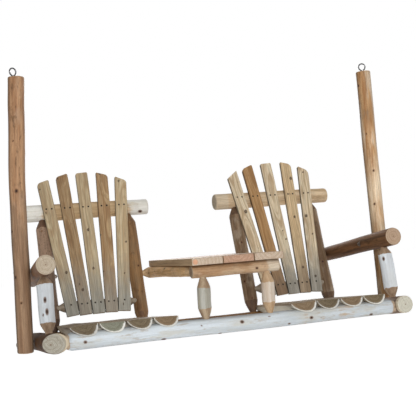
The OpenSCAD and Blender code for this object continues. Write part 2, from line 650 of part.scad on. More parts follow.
module pole_bolts() place() for (s = [LEFT, RIGHT]) {
    on_pole_bolt(s) carriage_bolt(pole_bolt_start, pole_bolt_end);
    on_arm_bolt(s) carriage_bolt(arm_bolt_start, arm_bolt_end);
}
module arm_bolts() place() for (s = [LEFT, RIGHT]) on_post_bolt(s) carriage_bolt(post_bolt_start, post_bolt_end);
module bolt_washers() place() for (s = [LEFT, RIGHT]) {
    on_pole_bolt(s) washer(pole_bolt_end + eps);
    on_arm_bolt(s) washer(arm_bolt_end + eps);
    on_post_bolt(s) washer(post_bolt_end + eps);
}
module bolt_nuts() place() for (s = [LEFT, RIGHT]) {
    on_pole_bolt(s) nut(pole_bolt_end + 2 * eps);
    on_arm_bolt(s) nut(arm_bolt_end + 2 * eps);
    on_post_bolt(s) nut(post_bolt_end + 2 * eps);
}

color(bark_tan) hanger_pole(LEFT);  // left_hanger_pole
color(bark_tan) hanger_pole(RIGHT);  // right_hanger_pole
color(steel) eye_bolt(LEFT, left_eye_turn);  // left_eye_bolt
color(steel) eye_bolt(RIGHT, right_eye_turn);  // right_eye_bolt
color(bark_tan) side_rail(LEFT);  // left_side_rail
color(bark_tan) side_rail(RIGHT);  // right_side_rail
color(peeled) front_rail();
color(brown) rear_rail();
color(peeled) front_post(LEFT);  // left_front_post
color(peeled) front_post(RIGHT);  // right_front_post
color(brown) arm(LEFT);  // left_arm
color(brown) arm(RIGHT);  // right_arm
color(brown) back_post(LEFT, -1);  // left_outer_back_post
color(brown) back_post(LEFT, 1);  // left_inner_back_post
color(brown) back_post(RIGHT, -1);  // right_inner_back_post
color(brown) back_post(RIGHT, 1);  // right_outer_back_post
color(cream) top_rail(LEFT);  // left_top_rail
color(cream) top_rail(RIGHT);  // right_top_rail
color(brown) lower_rail(LEFT);  // left_lower_rail
color(brown) lower_rail(RIGHT);  // right_lower_rail
color(beige) back_slat(LEFT, 0);  // left_back_slat_1
color(beige) back_slat(LEFT, 1);  // left_back_slat_2
color(beige) back_slat(LEFT, 2);  // left_back_slat_3
color(beige) back_slat(LEFT, 3);  // left_back_slat_4
color(beige) back_slat(LEFT, 4);  // left_back_slat_5
color(beige) back_slat(RIGHT, 0);  // right_back_slat_1
color(beige) back_slat(RIGHT, 1);  // right_back_slat_2
color(beige) back_slat(RIGHT, 2);  // right_back_slat_3
color(beige) back_slat(RIGHT, 3);  // right_back_slat_4
color(beige) back_slat(RIGHT, 4);  // right_back_slat_5
color(olive) seat_slat(LEFT, 0);  // left_seat_slat_1
color(olive) seat_slat(LEFT, 1);  // left_seat_slat_2
color(olive) seat_slat(LEFT, 2);  // left_seat_slat_3
color(olive) seat_slat(LEFT, 3);  // left_seat_slat_4
color(olive) seat_slat(RIGHT, 0);  // right_seat_slat_1
color(olive) seat_slat(RIGHT, 1);  // right_seat_slat_2
color(olive) seat_slat(RIGHT, 2);  // right_seat_slat_3
color(olive) seat_slat(RIGHT, 3);  // right_seat_slat_4
color(cream) table_post(LEFT);  // left_table_post
color(cream) table_post(RIGHT);  // right_table_post
color(board_tan) table_cross_log();
color(brown) table_side_log(LEFT);  // left_table_side_log
color(brown) table_side_log(RIGHT);  // right_table_side_log
color(brown) table_rear_log();
color(board_tan) table_board(0);  // table_board_1
color(board_tan) table_board(1);  // table_board_2
color(board_tan) table_board(2);  // table_board_3
color(steel) pole_bolts();
color(steel) arm_bolts();
color(steel) bolt_washers();
color(steel) bolt_nuts();
color(steel) back_screws(LEFT);  // left_back_screws
color(steel) back_screws(RIGHT);  // right_back_screws
color(steel) seat_screws();
color(steel) table_screws();
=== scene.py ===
import math
import random

import bmesh
import bpy
from mathutils import Matrix, Vector, noise


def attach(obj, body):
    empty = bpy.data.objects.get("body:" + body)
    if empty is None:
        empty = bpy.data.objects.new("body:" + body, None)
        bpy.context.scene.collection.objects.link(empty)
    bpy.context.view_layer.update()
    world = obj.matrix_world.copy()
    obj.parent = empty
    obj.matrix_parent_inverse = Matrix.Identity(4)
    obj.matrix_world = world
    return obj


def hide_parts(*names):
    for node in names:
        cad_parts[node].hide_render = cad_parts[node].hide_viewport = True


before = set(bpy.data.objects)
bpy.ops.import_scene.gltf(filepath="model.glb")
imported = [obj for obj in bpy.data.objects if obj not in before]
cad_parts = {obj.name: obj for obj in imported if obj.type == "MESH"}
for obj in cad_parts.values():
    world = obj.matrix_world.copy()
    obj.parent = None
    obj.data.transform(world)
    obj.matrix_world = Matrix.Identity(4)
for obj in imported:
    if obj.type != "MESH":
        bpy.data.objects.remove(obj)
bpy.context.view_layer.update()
print("frame loaded")

# ---- camera, at the photograph's viewing angle

view = {
    "place": (-1.2583, -3.8663, -0.8477),
    "yaw": 0.314, "pitch": 0.047, "roll": 0.081,
    "lens": 75.09, "shift": (-0.006, -0.0007),
}
ahead = Vector((math.sin(view["yaw"]) * math.cos(view["pitch"]),
                math.cos(view["yaw"]) * math.cos(view["pitch"]), math.sin(view["pitch"])))
level = Vector((math.cos(view["yaw"]), -math.sin(view["yaw"]), 0))
above = level.cross(ahead)
rightward = level * math.cos(view["roll"]) - above * math.sin(view["roll"])
upward = level * math.sin(view["roll"]) + above * math.cos(view["roll"])
cameraData = bpy.data.cameras.new("camera")
cameraData.lens = view["lens"]
cameraData.shift_x, cameraData.shift_y = view["shift"]
camera = bpy.data.objects.new("camera", cameraData)
turned = Matrix((rightward, upward, -ahead)).transposed().to_4x4()
camera.matrix_world = Matrix.Translation(view["place"]) @ turned
bpy.context.scene.collection.objects.link(camera)
bpy.context.scene.camera = camera


# ---- node helpers

def newMaterial(name):
    material = bpy.data.materials.new(name)
    material.use_nodes = True
    tree = material.node_tree
    return material, tree, tree.nodes["Principled BSDF"]


def addNode(tree, kind, inputs=None, **settings):
    made = tree.nodes.new(kind)
    for key, value in settings.items():
        setattr(made, key, value)
    for socket, value in (inputs or {}).items():
        if isinstance(value, bpy.types.NodeSocket):
            tree.links.new(value, made.inputs[socket])
        else:
            made.inputs[socket].default_value = value
    return made


def mixTones(factor, first, second):
    tones = {0: factor, 6: first, 7: second}
    for index in (6, 7):
        if not isinstance(tones[index], bpy.types.NodeSocket):
            tones[index] = (*tones[index], 1)
    return addNode(factor.id_data, "ShaderNodeMix", tones, data_type="RGBA").outputs[2]


def sums(operation, a, b=0.0):
    return addNode(a.id_data, "ShaderNodeMath", {0: a, 1: b}, operation=operation).outputs[0]


def vectors(operation, a, b=None, output="Vector"):
    parts = {0: a} if b is None else {0: a, 1: b}
    return addNode(a.id_data, "ShaderNodeVectorMath", parts, operation=operation).outputs[output]


def between(value, low, high, outLow=0.0, outHigh=1.0):
    return addNode(value.id_data, "ShaderNodeMapRange", {0: value, 1: low, 2: high, 3: outLow, 4: outHigh},
                   interpolation_type="SMOOTHSTEP").outputs[0]


def laidOver(colour, layer, mask, amount):
    return mixTones(sums("MULTIPLY", mask, amount), colour, layer)


def grainNoise(grain, scale, detail=3.0, rough=0.55):
    stretched = vectors("MULTIPLY", grain, scale)
    return addNode(grain.id_data, "ShaderNodeTexNoise",
                   {"Vector": stretched, "Scale": 1.0, "Detail": detail, "Roughness": rough}).outputs[0]


def scaled(colour, amount):
    return addNode(amount.id_data, "ShaderNodeVectorMath", {0: colour, "Scale": amount},
                   operation="SCALE").outputs[0]


def seenDirectly(tree):
    # 1 where the camera, or a mirror or glass in front of it, sees the surface
    rays = addNode(tree, "ShaderNodeLightPath")
    return sums("MAXIMUM", rays.outputs["Is Camera Ray"],
                sums("MAXIMUM", rays.outputs["Is Glossy Ray"], rays.outputs["Is Transmission Ray"]))


# ---- wood: every wooden piece carries its own grain, knot, tone and shade attributes

patterns = {  # across the grain twice, then along it
    "fibre": (420, 420, 11), "drift": (7, 7, 2.2), "pins": (34, 34, 15), "oval": (42, 42, 1),
    "mottle": (150, 150, 150), "spoke": (3.4, 3.4, 1), "sawn": (900, 60, 60),
}


def woodFinish(name, look):
    look = {**commonWood, **look}
    material, tree, shader = newMaterial(name)
    grain, knot, tone, shade, cutFace = [
        addNode(tree, "ShaderNodeAttribute", attribute_name=key).outputs["Vector" if key == "grain" else "Fac"]
        for key in ("grain", "knot", "tone", "shade", "cutFace")]
    across = vectors("MULTIPLY", grain, (1, 1, 0))
    radius = vectors("LENGTH", across, output="Value")  # from the pith

    fibre = grainNoise(grain, patterns["fibre"], 4, 0.6)
    streak = grainNoise(grain, look["streakScale"], 5, 0.65)
    blotch = grainNoise(grain, look["blotchScale"], 4, 0.6)
    patch = grainNoise(grain, look["patchScale"], 4, 0.65)
    colour = mixTones(between(streak, 0.36, 0.64), look["dark"], look["light"])
    colour = laidOver(colour, look["blotch"], between(blotch, 0.48, 0.64), look["blotches"])
    # weathered or bark-stained places
    stain = look.get("stain") or tuple(part * look["stainDepth"] for part in look["dark"])
    colour = laidOver(colour, stain, between(patch, 0.54, 0.7), look["stains"])

    if "line" in look:  # sawn wood shows its growth rings as long lines
        drift = grainNoise(grain, patterns["drift"], 2, 0.5)
        wander = sums("ADD", radius, sums("MULTIPLY", drift, 0.06))
        for rate, strength in (
                (look["ringRate"], look["lines"]), (look["ringRate"] * 2.6, look["lines"] * 0.6)):
            wave = sums("SINE", sums("MULTIPLY", wander, rate))
            colour = laidOver(colour, look["line"], between(wave, 0.1, 1.0), strength)

    # the second tone: bare wood or bark where the piece says so, and on the slats the painted shade that greys
    # them towards the foot
    second, secondDark = look.get("second", (look["dark"], look["dark"]))
    second = mixTones(between(streak, 0.35, 0.65), secondDark, second)
    uneven = sums("MULTIPLY", sums("SUBTRACT", patch, 0.5), look["ragged"] * 1.6)
    edge = sums("ADD", tone, uneven)
    colour = mixTones(between(edge, *look["toneEdge"]), colour, second)
    colour = scaled(colour, between(fibre, 0.25, 0.75, 1 - look["fibres"], 1 + look["fibres"]))

    # pin knots scattered thinly, and the larger knots that each piece places itself
    cells = vectors("MULTIPLY", grain, patterns["pins"])
    speck = addNode(tree, "ShaderNodeTexVoronoi", {"Vector": cells, "Scale": 1.0})
    chosen = addNode(tree, "ShaderNodeSeparateColor", {0: speck.outputs["Color"]}).outputs[0]
    pin = sums("MULTIPLY", between(speck.outputs["Distance"], 0.14, 0.07),
               sums("GREATER_THAN", chosen, 1 - look["pins"]))
    colour = laidOver(colour, look["knotRing"], pin, 0.75)
    colour = mixTones(between(knot, look["knotFrom"], 0.5, 0, 0.85), colour, look["knotRing"])
    colour = mixTones(between(knot, *look["knotCore"]), colour, look["knotDark"])

    # growth rings, pith, sapwood rim and drying checks on the cut faces
    oval = grainNoise(across, patterns["oval"], 3, 0.6)
    grown = sums("ADD", radius, sums("MULTIPLY", oval, 0.02))
    end, endDark, endRim = look["ends"]
    for rate, strength in ((look["endRate"], 0.45), (look["endRate"] * 0.43, 0.5)):
        ring = sums("SINE", sums("MULTIPLY", grown, rate))
        end = laidOver(end, endDark, between(ring, -0.3, 1.0), strength)
    mottle = grainNoise(grain, patterns["mottle"], 4, 0.65)
    end = laidOver(end, endDark, between(mottle, 0.52, 0.68), 0.6)
    roughRadius = sums("ADD", radius, sums("MULTIPLY", sums("SUBTRACT", mottle, 0.5), 0.006))
    end = mixTones(between(roughRadius, *look["rim"]), end, endRim)
    end = laidOver(end, look["knotRing"], between(radius, 0.0045, 0.0015), 0.8)
    if "heart" in look:
        end = mixTones(between(roughRadius, 0.013, 0.009), end, look["heart"])
    spoke = grainNoise(vectors("NORMALIZE", across), patterns["spoke"], 4, 0.7)
    check = sums("MULTIPLY", between(spoke, 0.63, 0.68), between(radius, 0.004, 0.012))
    end = laidOver(end, look["knotRing"], check, 0.7)
    sawn = grainNoise(grain, patterns["sawn"], 2, 0.5)
    end = scaled(end, between(sawn, 0.3, 0.7, 0.86, 1.1))
    colour = mixTones(cutFace, colour, end)
    # the shade attribute scales the colour: each piece's own brightness, and the painted shade and highlights
    # that some pieces carry
    tree.links.new(scaled(colour, shade), shader.inputs["Base Color"])

    hewn = grainNoise(grain, look["hewnScale"], 2, 0.5)
    height = sums("ADD", sums("MULTIPLY", hewn, look["hewn"]), sums("MULTIPLY", fibre, 0.22))
    height = sums("SUBTRACT", height, sums("MULTIPLY", between(knot, 0.55, 0.8), 0.3))
    bump = addNode(
        tree, "ShaderNodeBump", {"Height": height, "Strength": look["relief"], "Distance": look["depth"]})
    tree.links.new(bump.outputs[0], shader.inputs["Normal"])
    rough = between(streak, 0.3, 0.7, look["rough"] - 0.08, look["rough"] + 0.08)
    tree.links.new(rough, shader.inputs["Roughness"])
    shader.inputs["Specular IOR Level"].default_value = look["gloss"]
    return material


# finishes: each says only where it differs from the common one
commonWood = {
    "streakScale": (52, 52, 2.8), "blotchScale": (18, 18, 8), "patchScale": (34, 34, 20),
    "hewnScale": (62, 62, 9), "blotches": 0.7, "stains": 0.6, "stainDepth": 0.55, "ringRate": 620, "lines": 0.5,
    "ragged": 0.5, "toneEdge": (0.38, 0.62), "fibres": 0.24, "pins": 0.12, "knotRing": (0.16, 0.075, 0.035),
    "knotDark": (0.035, 0.016, 0.01), "knotFrom": 0.12, "knotCore": (0.5, 0.78), "endRate": 1500,
    "rim": (0.024, 0.034), "hewn": 0.6, "relief": 0.5, "depth": 0.0022, "rough": 0.68, "gloss": 0.28
}
# the slats' grey second tone is the painted shade at their feet
slatWood = dict(
    knotRing=(0.045, 0.026, 0.016), knotDark=(0.2, 0.135, 0.08), knotFrom=0.22, knotCore=(0.62, 0.86),
    fibres=0.3, lines=0.62, stainDepth=0.7, stains=0.3, toneEdge=(0.1, 0.9), ragged=0.4, hewn=0.15)
boardWood = dict(
    lines=0.45, stains=0.4, second=((0.48, 0.335, 0.195), (0.33, 0.22, 0.125)), ragged=0.3, hewn=0.15,
    rim=(0.2, 0.3), endRate=900)
armWood = dict(stains=0.7, endRate=1000, rim=(0.036, 0.041), hewn=0.9)
seatWood = dict(
    light=(0.33, 0.265, 0.185), dark=(0.2, 0.15, 0.095), blotch=(0.25, 0.19, 0.125),
    second=((0.6, 0.56, 0.47), (0.42, 0.37, 0.28)), stains=0.4, rim=(0.05, 0.054), endRate=950,
    line=(0.3, 0.2, 0.11), lines=0.4)
brownEnd = dict(ends=((0.4, 0.3, 0.2), (0.3, 0.2, 0.12), (0.3, 0.2, 0.12)))
tanEnd = dict(ends=((0.5, 0.4, 0.3), (0.4, 0.3, 0.2), (0.5, 0.4, 0.3)))
whiteEnd = dict(ends=((0.6, 0.5, 0.4), (0.5, 0.4, 0.3), (0.6, 0.55, 0.45)))
finishes = {
    "poleRed": dict(
        light=(0.449, 0.262, 0.142), dark=(0.289, 0.145, 0.0677), blotch=(0.432, 0.274, 0.169), blotches=0.8,
        stainDepth=0.4, stains=0.85, patchScale=(46, 46, 13),
        second=((0.328, 0.207, 0.123), (0.216, 0.121, 0.0655)), ragged=0.8, toneEdge=(0.2, 0.8), fibres=0.3,
        ends=((0.5, 0.34, 0.22), (0.36, 0.22, 0.13), (0.46, 0.3, 0.19))),
    "poleGold": dict(
        light=(0.528, 0.324, 0.162), dark=(0.297, 0.138, 0.049), blotch=(0.58, 0.45, 0.32), blotches=0.95,
        blotchScale=(26, 26, 3.5), stains=0.75, patchScale=(17, 17, 6),
        second=((0.76, 0.63, 0.46), (0.6, 0.44, 0.28)), ragged=0.9, toneEdge=(0.12, 0.95), fibres=0.3,
        ends=((0.62, 0.44, 0.28), (0.46, 0.29, 0.17), (0.55, 0.37, 0.22))),
    # very dark sides: dark bark, with the hanger pole's shadow painted in
    "sideBrown": dict(
        light=(0.0742, 0.033, 0.0135), dark=(0.0347, 0.0149, 0.00627), blotch=(0.0924, 0.0469, 0.0206),
        stains=0.5, second=((0.5, 0.45, 0.34), (0.36, 0.29, 0.19)), gloss=0.05,
        ends=((0.42, 0.392, 0.328), (0.26, 0.231, 0.182), (0.56, 0.47, 0.34)), rim=(0.046, 0.05), endRate=1100),
    "sidePale": dict(
        light=(0.2, 0.125, 0.075), dark=(0.1, 0.058, 0.034), blotch=(0.28, 0.2, 0.13), stains=0.5,
        second=((0.66, 0.6, 0.48), (0.5, 0.41, 0.28)), ragged=0.3,
        ends=((0.62, 0.598, 0.5), (0.489, 0.451, 0.36), (0.62, 0.56, 0.45)), rim=(0.036, 0.042), endRate=1100),
    "armBrown": dict(
        armWood, light=(0.195, 0.0945, 0.0425), dark=(0.0808, 0.0387, 0.0179), blotch=(0.142, 0.0675, 0.0306),
        ends=((0.476, 0.396, 0.3), (0.34, 0.27, 0.187), (0.442, 0.357, 0.264))),
    "armRed": dict(
        armWood, light=(0.212, 0.106, 0.049), dark=(0.09, 0.0445, 0.0205), blotch=(0.15, 0.072, 0.033),
        gloss=0.12, ends=((0.493, 0.355, 0.25), (0.344, 0.221, 0.139), (0.465, 0.346, 0.24))),
    "postBrown": dict(
        brownEnd, light=(0.285, 0.16, 0.0695), dark=(0.129, 0.0623, 0.0237), blotch=(0.216, 0.134, 0.0672),
        second=((0.24, 0.135, 0.062), (0.12, 0.062, 0.03))),
    "postDark": dict(
        brownEnd, light=(0.276, 0.18, 0.123), dark=(0.202, 0.131, 0.0862), blotch=(0.291, 0.188, 0.121),
        stainDepth=0.36, stains=0.85, patchScale=(120, 120, 90),
        second=((0.14, 0.0757, 0.0456), (0.0651, 0.0356, 0.0216))),
    "postGrey": dict(
        brownEnd, light=(0.275, 0.187, 0.115), dark=(0.138, 0.0809, 0.0423), blotch=(0.323, 0.257, 0.185),
        second=((0.16, 0.095, 0.055), (0.085, 0.048, 0.028))),
    # peeledWhite and postWhite: pale peeled wood, with a painted bluish sky reflection in their colour
    "peeledWhite": dict(
        whiteEnd, light=(0.64, 0.692, 0.729), dark=(0.533, 0.573, 0.593), blotch=(0.54, 0.515, 0.445),
        blotches=0.6, blotchScale=(24, 24, 6), stain=(0.37, 0.285, 0.2), stains=0.62, patchScale=(75, 75, 13),
        second=((0.56, 0.44, 0.32), (0.42, 0.3, 0.2)), ragged=0.7, toneEdge=(0.3, 0.7), fibres=0.08, hewn=1.1,
        hewnScale=(55, 55, 7), relief=0.7, pins=0.06),
    "postWhite": dict(
        whiteEnd, light=(0.77, 0.815, 0.853), dark=(0.621, 0.648, 0.67), blotch=(0.663, 0.68, 0.67),
        blotches=0.6, stainDepth=0.7, stains=0.35, second=((0.4, 0.28, 0.185), (0.235, 0.15, 0.09)),
        fibres=0.08, hewn=1.0, relief=0.7, pins=0.1),
    "creamRail": dict(
        light=(0.84, 0.83, 0.775), dark=(0.72, 0.69, 0.61), blotch=(0.6, 0.5, 0.36), blotches=0.5,
        stainDepth=0.75, stains=0.3, second=((0.644, 0.46, 0.266), (0.452, 0.305, 0.158)), ragged=1.0,
        toneEdge=(0.15, 0.85), fibres=0.1, ends=((0.7, 0.67, 0.6), (0.58, 0.52, 0.43), (0.72, 0.7, 0.64)),
        rim=(0.03, 0.04)),
    "tanRail": dict(
        light=(0.717, 0.556, 0.369), dark=(0.503, 0.353, 0.203), blotch=(0.5, 0.35, 0.21), blotches=0.6,
        stainDepth=0.65, stains=0.4, second=((0.66, 0.547, 0.396), (0.52, 0.394, 0.258)), ragged=1.0,
        toneEdge=(0.3, 0.7), ends=((0.4, 0.33, 0.235), (0.27, 0.21, 0.14), (0.46, 0.38, 0.28)),
        rim=(0.034, 0.041)),
    "slatBeige": dict(
        slatWood, light=(0.51, 0.422, 0.275), dark=(0.388, 0.299, 0.18), blotch=(0.428, 0.324, 0.195),
        line=(0.335, 0.22, 0.115), second=((0.316, 0.304, 0.26), (0.24, 0.226, 0.187)), pins=0.1,
        ends=((0.45, 0.37, 0.26), (0.36, 0.28, 0.19), (0.45, 0.37, 0.26))),
    "slatPale": dict(
        slatWood, light=(0.758, 0.659, 0.483), dark=(0.59, 0.476, 0.316), blotch=(0.63, 0.492, 0.324),
        line=(0.39, 0.26, 0.145), second=((0.354, 0.335, 0.288), (0.258, 0.239, 0.199)), pins=0.14,
        ends=((0.48, 0.4, 0.29), (0.39, 0.31, 0.22), (0.48, 0.4, 0.29))),
    "slatPink": dict(
        slatWood, light=(0.397, 0.281, 0.156), dark=(0.273, 0.17, 0.0824), blotch=(0.324, 0.217, 0.115),
        stainDepth=0.6, stains=0.4, line=(0.215, 0.116, 0.0506),
        second=((0.307, 0.274, 0.219), (0.209, 0.178, 0.14)), pins=0.14,
        ends=((0.36, 0.26, 0.17), (0.28, 0.19, 0.12), (0.36, 0.26, 0.17))),
    "slatOrange": dict(
        slatWood, light=(0.47, 0.285, 0.131), dark=(0.35, 0.195, 0.0788), blotch=(0.4, 0.23, 0.0998),
        stainDepth=0.6, stains=0.35, line=(0.27, 0.135, 0.048),
        second=((0.27, 0.185, 0.115), (0.19, 0.125, 0.075)), pins=0.16,
        ends=((0.4, 0.26, 0.13), (0.31, 0.19, 0.09), (0.4, 0.26, 0.13))),
    "boardTan": dict(
        boardWood, light=(0.48, 0.34, 0.22), dark=(0.36, 0.235, 0.14), blotch=(0.36, 0.25, 0.16),
        line=(0.31, 0.185, 0.1), ends=((0.556, 0.453, 0.349), (0.408, 0.282, 0.192), (0.62, 0.47, 0.33)),
        heart=(0.62, 0.335, 0.205)),
    "boardRed": dict(
        boardWood, light=(0.45, 0.28, 0.175), dark=(0.33, 0.19, 0.11), blotch=(0.37, 0.22, 0.135),
        line=(0.27, 0.14, 0.075), ends=((0.516, 0.328, 0.228), (0.356, 0.196, 0.118), (0.5, 0.3, 0.2))),
    "paleTurned": dict(
        tanEnd, light=(0.442, 0.431, 0.378), dark=(0.316, 0.296, 0.242), blotch=(0.395, 0.355, 0.272),
        stainDepth=0.6, stains=0.4, second=((0.42, 0.32, 0.215), (0.27, 0.18, 0.11)), fibres=0.12),
    "orangeTurned": dict(
        tanEnd, light=(0.642, 0.567, 0.485), dark=(0.502, 0.405, 0.31), blotch=(0.558, 0.428, 0.32),
        stainDepth=0.75, stains=0.3, second=((0.5, 0.36, 0.225), (0.38, 0.24, 0.13)), fibres=0.12),
    "crossTan": dict(
        light=(0.446, 0.283, 0.158), dark=(0.312, 0.174, 0.085), blotch=(0.506, 0.369, 0.243), blotches=0.6,
        stainDepth=0.6, stains=0.45, second=((0.616, 0.533, 0.42), (0.51, 0.404, 0.286)),
        ends=((0.3, 0.22, 0.15), (0.17, 0.115, 0.07), (0.4, 0.31, 0.21)), rim=(0.02, 0.027)),
    "sideTan": dict(
        tanEnd, light=(0.781, 0.515, 0.265), dark=(0.515, 0.308, 0.137), blotch=(0.699, 0.482, 0.282),
        stains=0.5, second=((0.575, 0.4, 0.228), (0.362, 0.225, 0.114))),
    "seatOlive": dict(
        seatWood, second=((0.4, 0.33, 0.235), (0.26, 0.2, 0.135)),
        ends=((0.175, 0.134, 0.0798), (0.0961, 0.067, 0.0354), (0.66, 0.65, 0.6))),
    "seatGrey": dict(seatWood, ends=((0.204, 0.205, 0.153), (0.121, 0.116, 0.0805), (0.66, 0.65, 0.6))),
    "seatTan": dict(seatWood, ends=((0.222, 0.157, 0.0918), (0.125, 0.0786, 0.0404), (0.66, 0.65, 0.6))),
    "railGrey": dict(
        brownEnd, light=(0.36, 0.31, 0.24), dark=(0.23, 0.18, 0.13), blotch=(0.323, 0.257, 0.185),
        second=((0.33, 0.275, 0.21), (0.2, 0.155, 0.11))),
    "slatGold": dict(
        slatWood, light=(0.73, 0.575, 0.356), dark=(0.559, 0.408, 0.23), blotch=(0.604, 0.425, 0.247),
        line=(0.39, 0.26, 0.145), second=((0.37, 0.285, 0.195), (0.27, 0.2, 0.13)), pins=0.14,
        ends=((0.48, 0.4, 0.29), (0.39, 0.31, 0.22), (0.48, 0.4, 0.29))),
}
wood = {key: woodFinish(key, look) for key, look in finishes.items()}


steelScales = {"mottle": 420.0, "worn": 90.0}


def steelFinish(name, look):
    material, tree, shader = newMaterial(name)
    place = addNode(tree, "ShaderNodeTexCoord").outputs["Object"]
    mottle = addNode(
        tree, "ShaderNodeTexNoise", {"Vector": place, "Scale": steelScales["mottle"], "Detail": 4.0}).outputs[0]
    worn = addNode(
        tree, "ShaderNodeTexNoise", {"Vector": place, "Scale": steelScales["worn"], "Detail": 3.0}).outputs[0]
    colour = mixTones(between(mottle, 0.35, 0.65), look["dark"], look["light"])
    tree.links.new(colour, shader.inputs["Base Color"])
    rough = between(worn, 0.3, 0.7, look["rough"] - 0.07, look["rough"] + 0.09)
    tree.links.new(rough, shader.inputs["Roughness"])
    bump = addNode(tree, "ShaderNodeBump", {"Height": mottle, "Strength": 0.15, "Distance": 0.0003})
    tree.links.new(bump.outputs[0], shader.inputs["Normal"])
    shader.inputs["Metallic"].default_value = 1.0
    return material


steels = {
    "boltSteel": {"light": (0.2, 0.17, 0.145), "dark": (0.1, 0.08, 0.065), "rough": 0.42},
    "eyeSteel": {"light": (0.12, 0.12, 0.12), "dark": (0.055, 0.055, 0.055), "rough": 0.26},
    "screwSteel": {"light": (0.055, 0.045, 0.038), "dark": (0.025, 0.021, 0.018), "rough": 0.45},
}
steel = {key: steelFinish(key, look) for key, look in steels.items()}
print("finishes ready")


# ---- modelling helpers

def clamp(value):
    return min(1, max(0, value))


def withinBand(z, low, high, soft):
    return clamp(min(z - low, high - z) / soft + 0.5)


def turnFrom(angle, degrees):
    return (angle - math.radians(degrees) + math.pi) % (2 * math.pi) - math.pi


def knotStrength(dz, across, size):
    return math.exp(-((dz / (1.25 * size)) ** 2 + (across / size) ** 2))


def newWork():
    work = bmesh.new()
    layers = {
        "grain": work.verts.layers.float_vector.new("grain"),
        "knot": work.verts.layers.float.new("knot"),
        "tone": work.verts.layers.float.new("tone"),
        "shade": work.verts.layers.float.new("shade"),
        "cutFace": work.faces.layers.float.new("cutFace"),
    }
    return work, layers


def spun(work, parts, centre, axis, angle, steps, merge=False):
    return bmesh.ops.spin(work, geom=parts, cent=centre, axis=axis, dvec=(0, 0, 0), angle=angle, steps=steps,
                          use_merge=merge, use_normal_flip=False, use_duplicate=False)


def eased(work, parts, cut, segments, affect="EDGES"):
    bmesh.ops.bevel(work, geom=parts, offset=cut, offset_type="OFFSET", segments=segments, profile=0.5,
                    affect=affect, material=-1)


def pulledOut(work, offset):
    grown = bmesh.ops.extrude_face_region(work, geom=work.faces[:])["geom"]
    bmesh.ops.translate(
        work, vec=offset, verts=[part for part in grown if isinstance(part, bmesh.types.BMVert)])
    bmesh.ops.recalc_face_normals(work, faces=work.faces)


def sharpEdges(work):
    return [edge for edge in work.edges if edge.calc_face_angle(0) > 0.9]


def cutAlong(work, normal, at, stop, step):
    while at < stop:
        bmesh.ops.bisect_plane(work, geom=work.verts[:] + work.edges[:] + work.faces[:], dist=0.00001,
                               plane_co=[part * at for part in normal], plane_no=normal)
        at += step


def alongLine(start, end):
    # Z runs from start to end; X is to the right on upright logs, and level on lying ones
    start, z = Vector(start), (Vector(end) - Vector(start)).normalized()
    x = Vector((1, 0, 0)) - z * z.x if abs(z.z) > 0.7 else Vector((0, 0, 1)).cross(z)
    x.normalize()
    return Matrix.Translation(start) @ Matrix((x, z.cross(x), z)).transposed().to_4x4()


def makePiece(name, work, place, material, node, body="swing"):
    bmesh.ops.transform(work, matrix=place, verts=work.verts)
    bmesh.ops.recalc_face_normals(work, faces=work.faces)
    for face in work.faces:
        face.smooth = True
    mesh = bpy.data.meshes.new(name)
    work.to_mesh(mesh)
    work.free()
    mesh.set_sharp_from_angle(angle=math.radians(38))
    mesh.materials.append(material)
    piece = bpy.data.objects.new(name, mesh)
    bpy.context.scene.collection.objects.link(piece)
    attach(piece, body)
    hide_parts(node)


# ---- logs: an outline is spun round, then made uneven by hand tools and knots

logShape = {
    "bay": 0.0055, "doubles": 0.00002, "cutDepth": 0.0002, "worn": 0.75, "pithPlay": 0.001,
    "knotEvery": 0.16, "knotReach": (0.1, 0.9), "knotTurn": (105, 255), "knotSize": (0.004, 0.008),
    "knotFade": 4, "swellWide": 2.2, "swell": 0.0011, "ragged": 0.004, "toneSoft": 0.006, "shadeSoft": 0.06,
    "stripeSoft": 0.12, "stripeWobble": 0.12, "sawReach": 0.0005, "sawDip": 0.0007,
}
commonLog = {
    "front": 255, "sides": 44, "stubs": (0.03, 0.03), "rim": 0.006, "uneven": 0.03,
    "bow": (0.0012, 0.0012, 1.3), "shade": 1.0, "knots": [], "knotLong": 1, "zones": [], "soft": 0.02,
    "zoneStrength": 1, "arch": 0, "bare": 0, "shadeAndHighlightStripes": [], "shades": [], "flare": (0, 1), "bend": [],
}


def logOutline(log, length):
    ends = []
    for side in (0, 1):
        radius = log["radii"][side]
        if "tenons" in log:
            tenon, stub, cone = log["tenons"][side], log["stubs"][side], log["cones"][side]
            line = [(0, 0), (0, tenon), (stub, tenon)]
            for step in (0.25, 0.5, 0.75, 1):
                line.append((stub + cone * step, tenon + (radius - tenon) * (1 - (1 - step) ** 1.2)))
        else:
            rim = log["rim"]
            line = [(0, 0), (0, radius - rim)]
            for turn in (30, 60, 90):
                turn = math.radians(turn)
                line.append((rim - rim * math.cos(turn), radius - rim + rim * math.sin(turn)))
        ends.append(line)
    return ends[0] + [(length - z, r) for z, r in reversed(ends[1])]


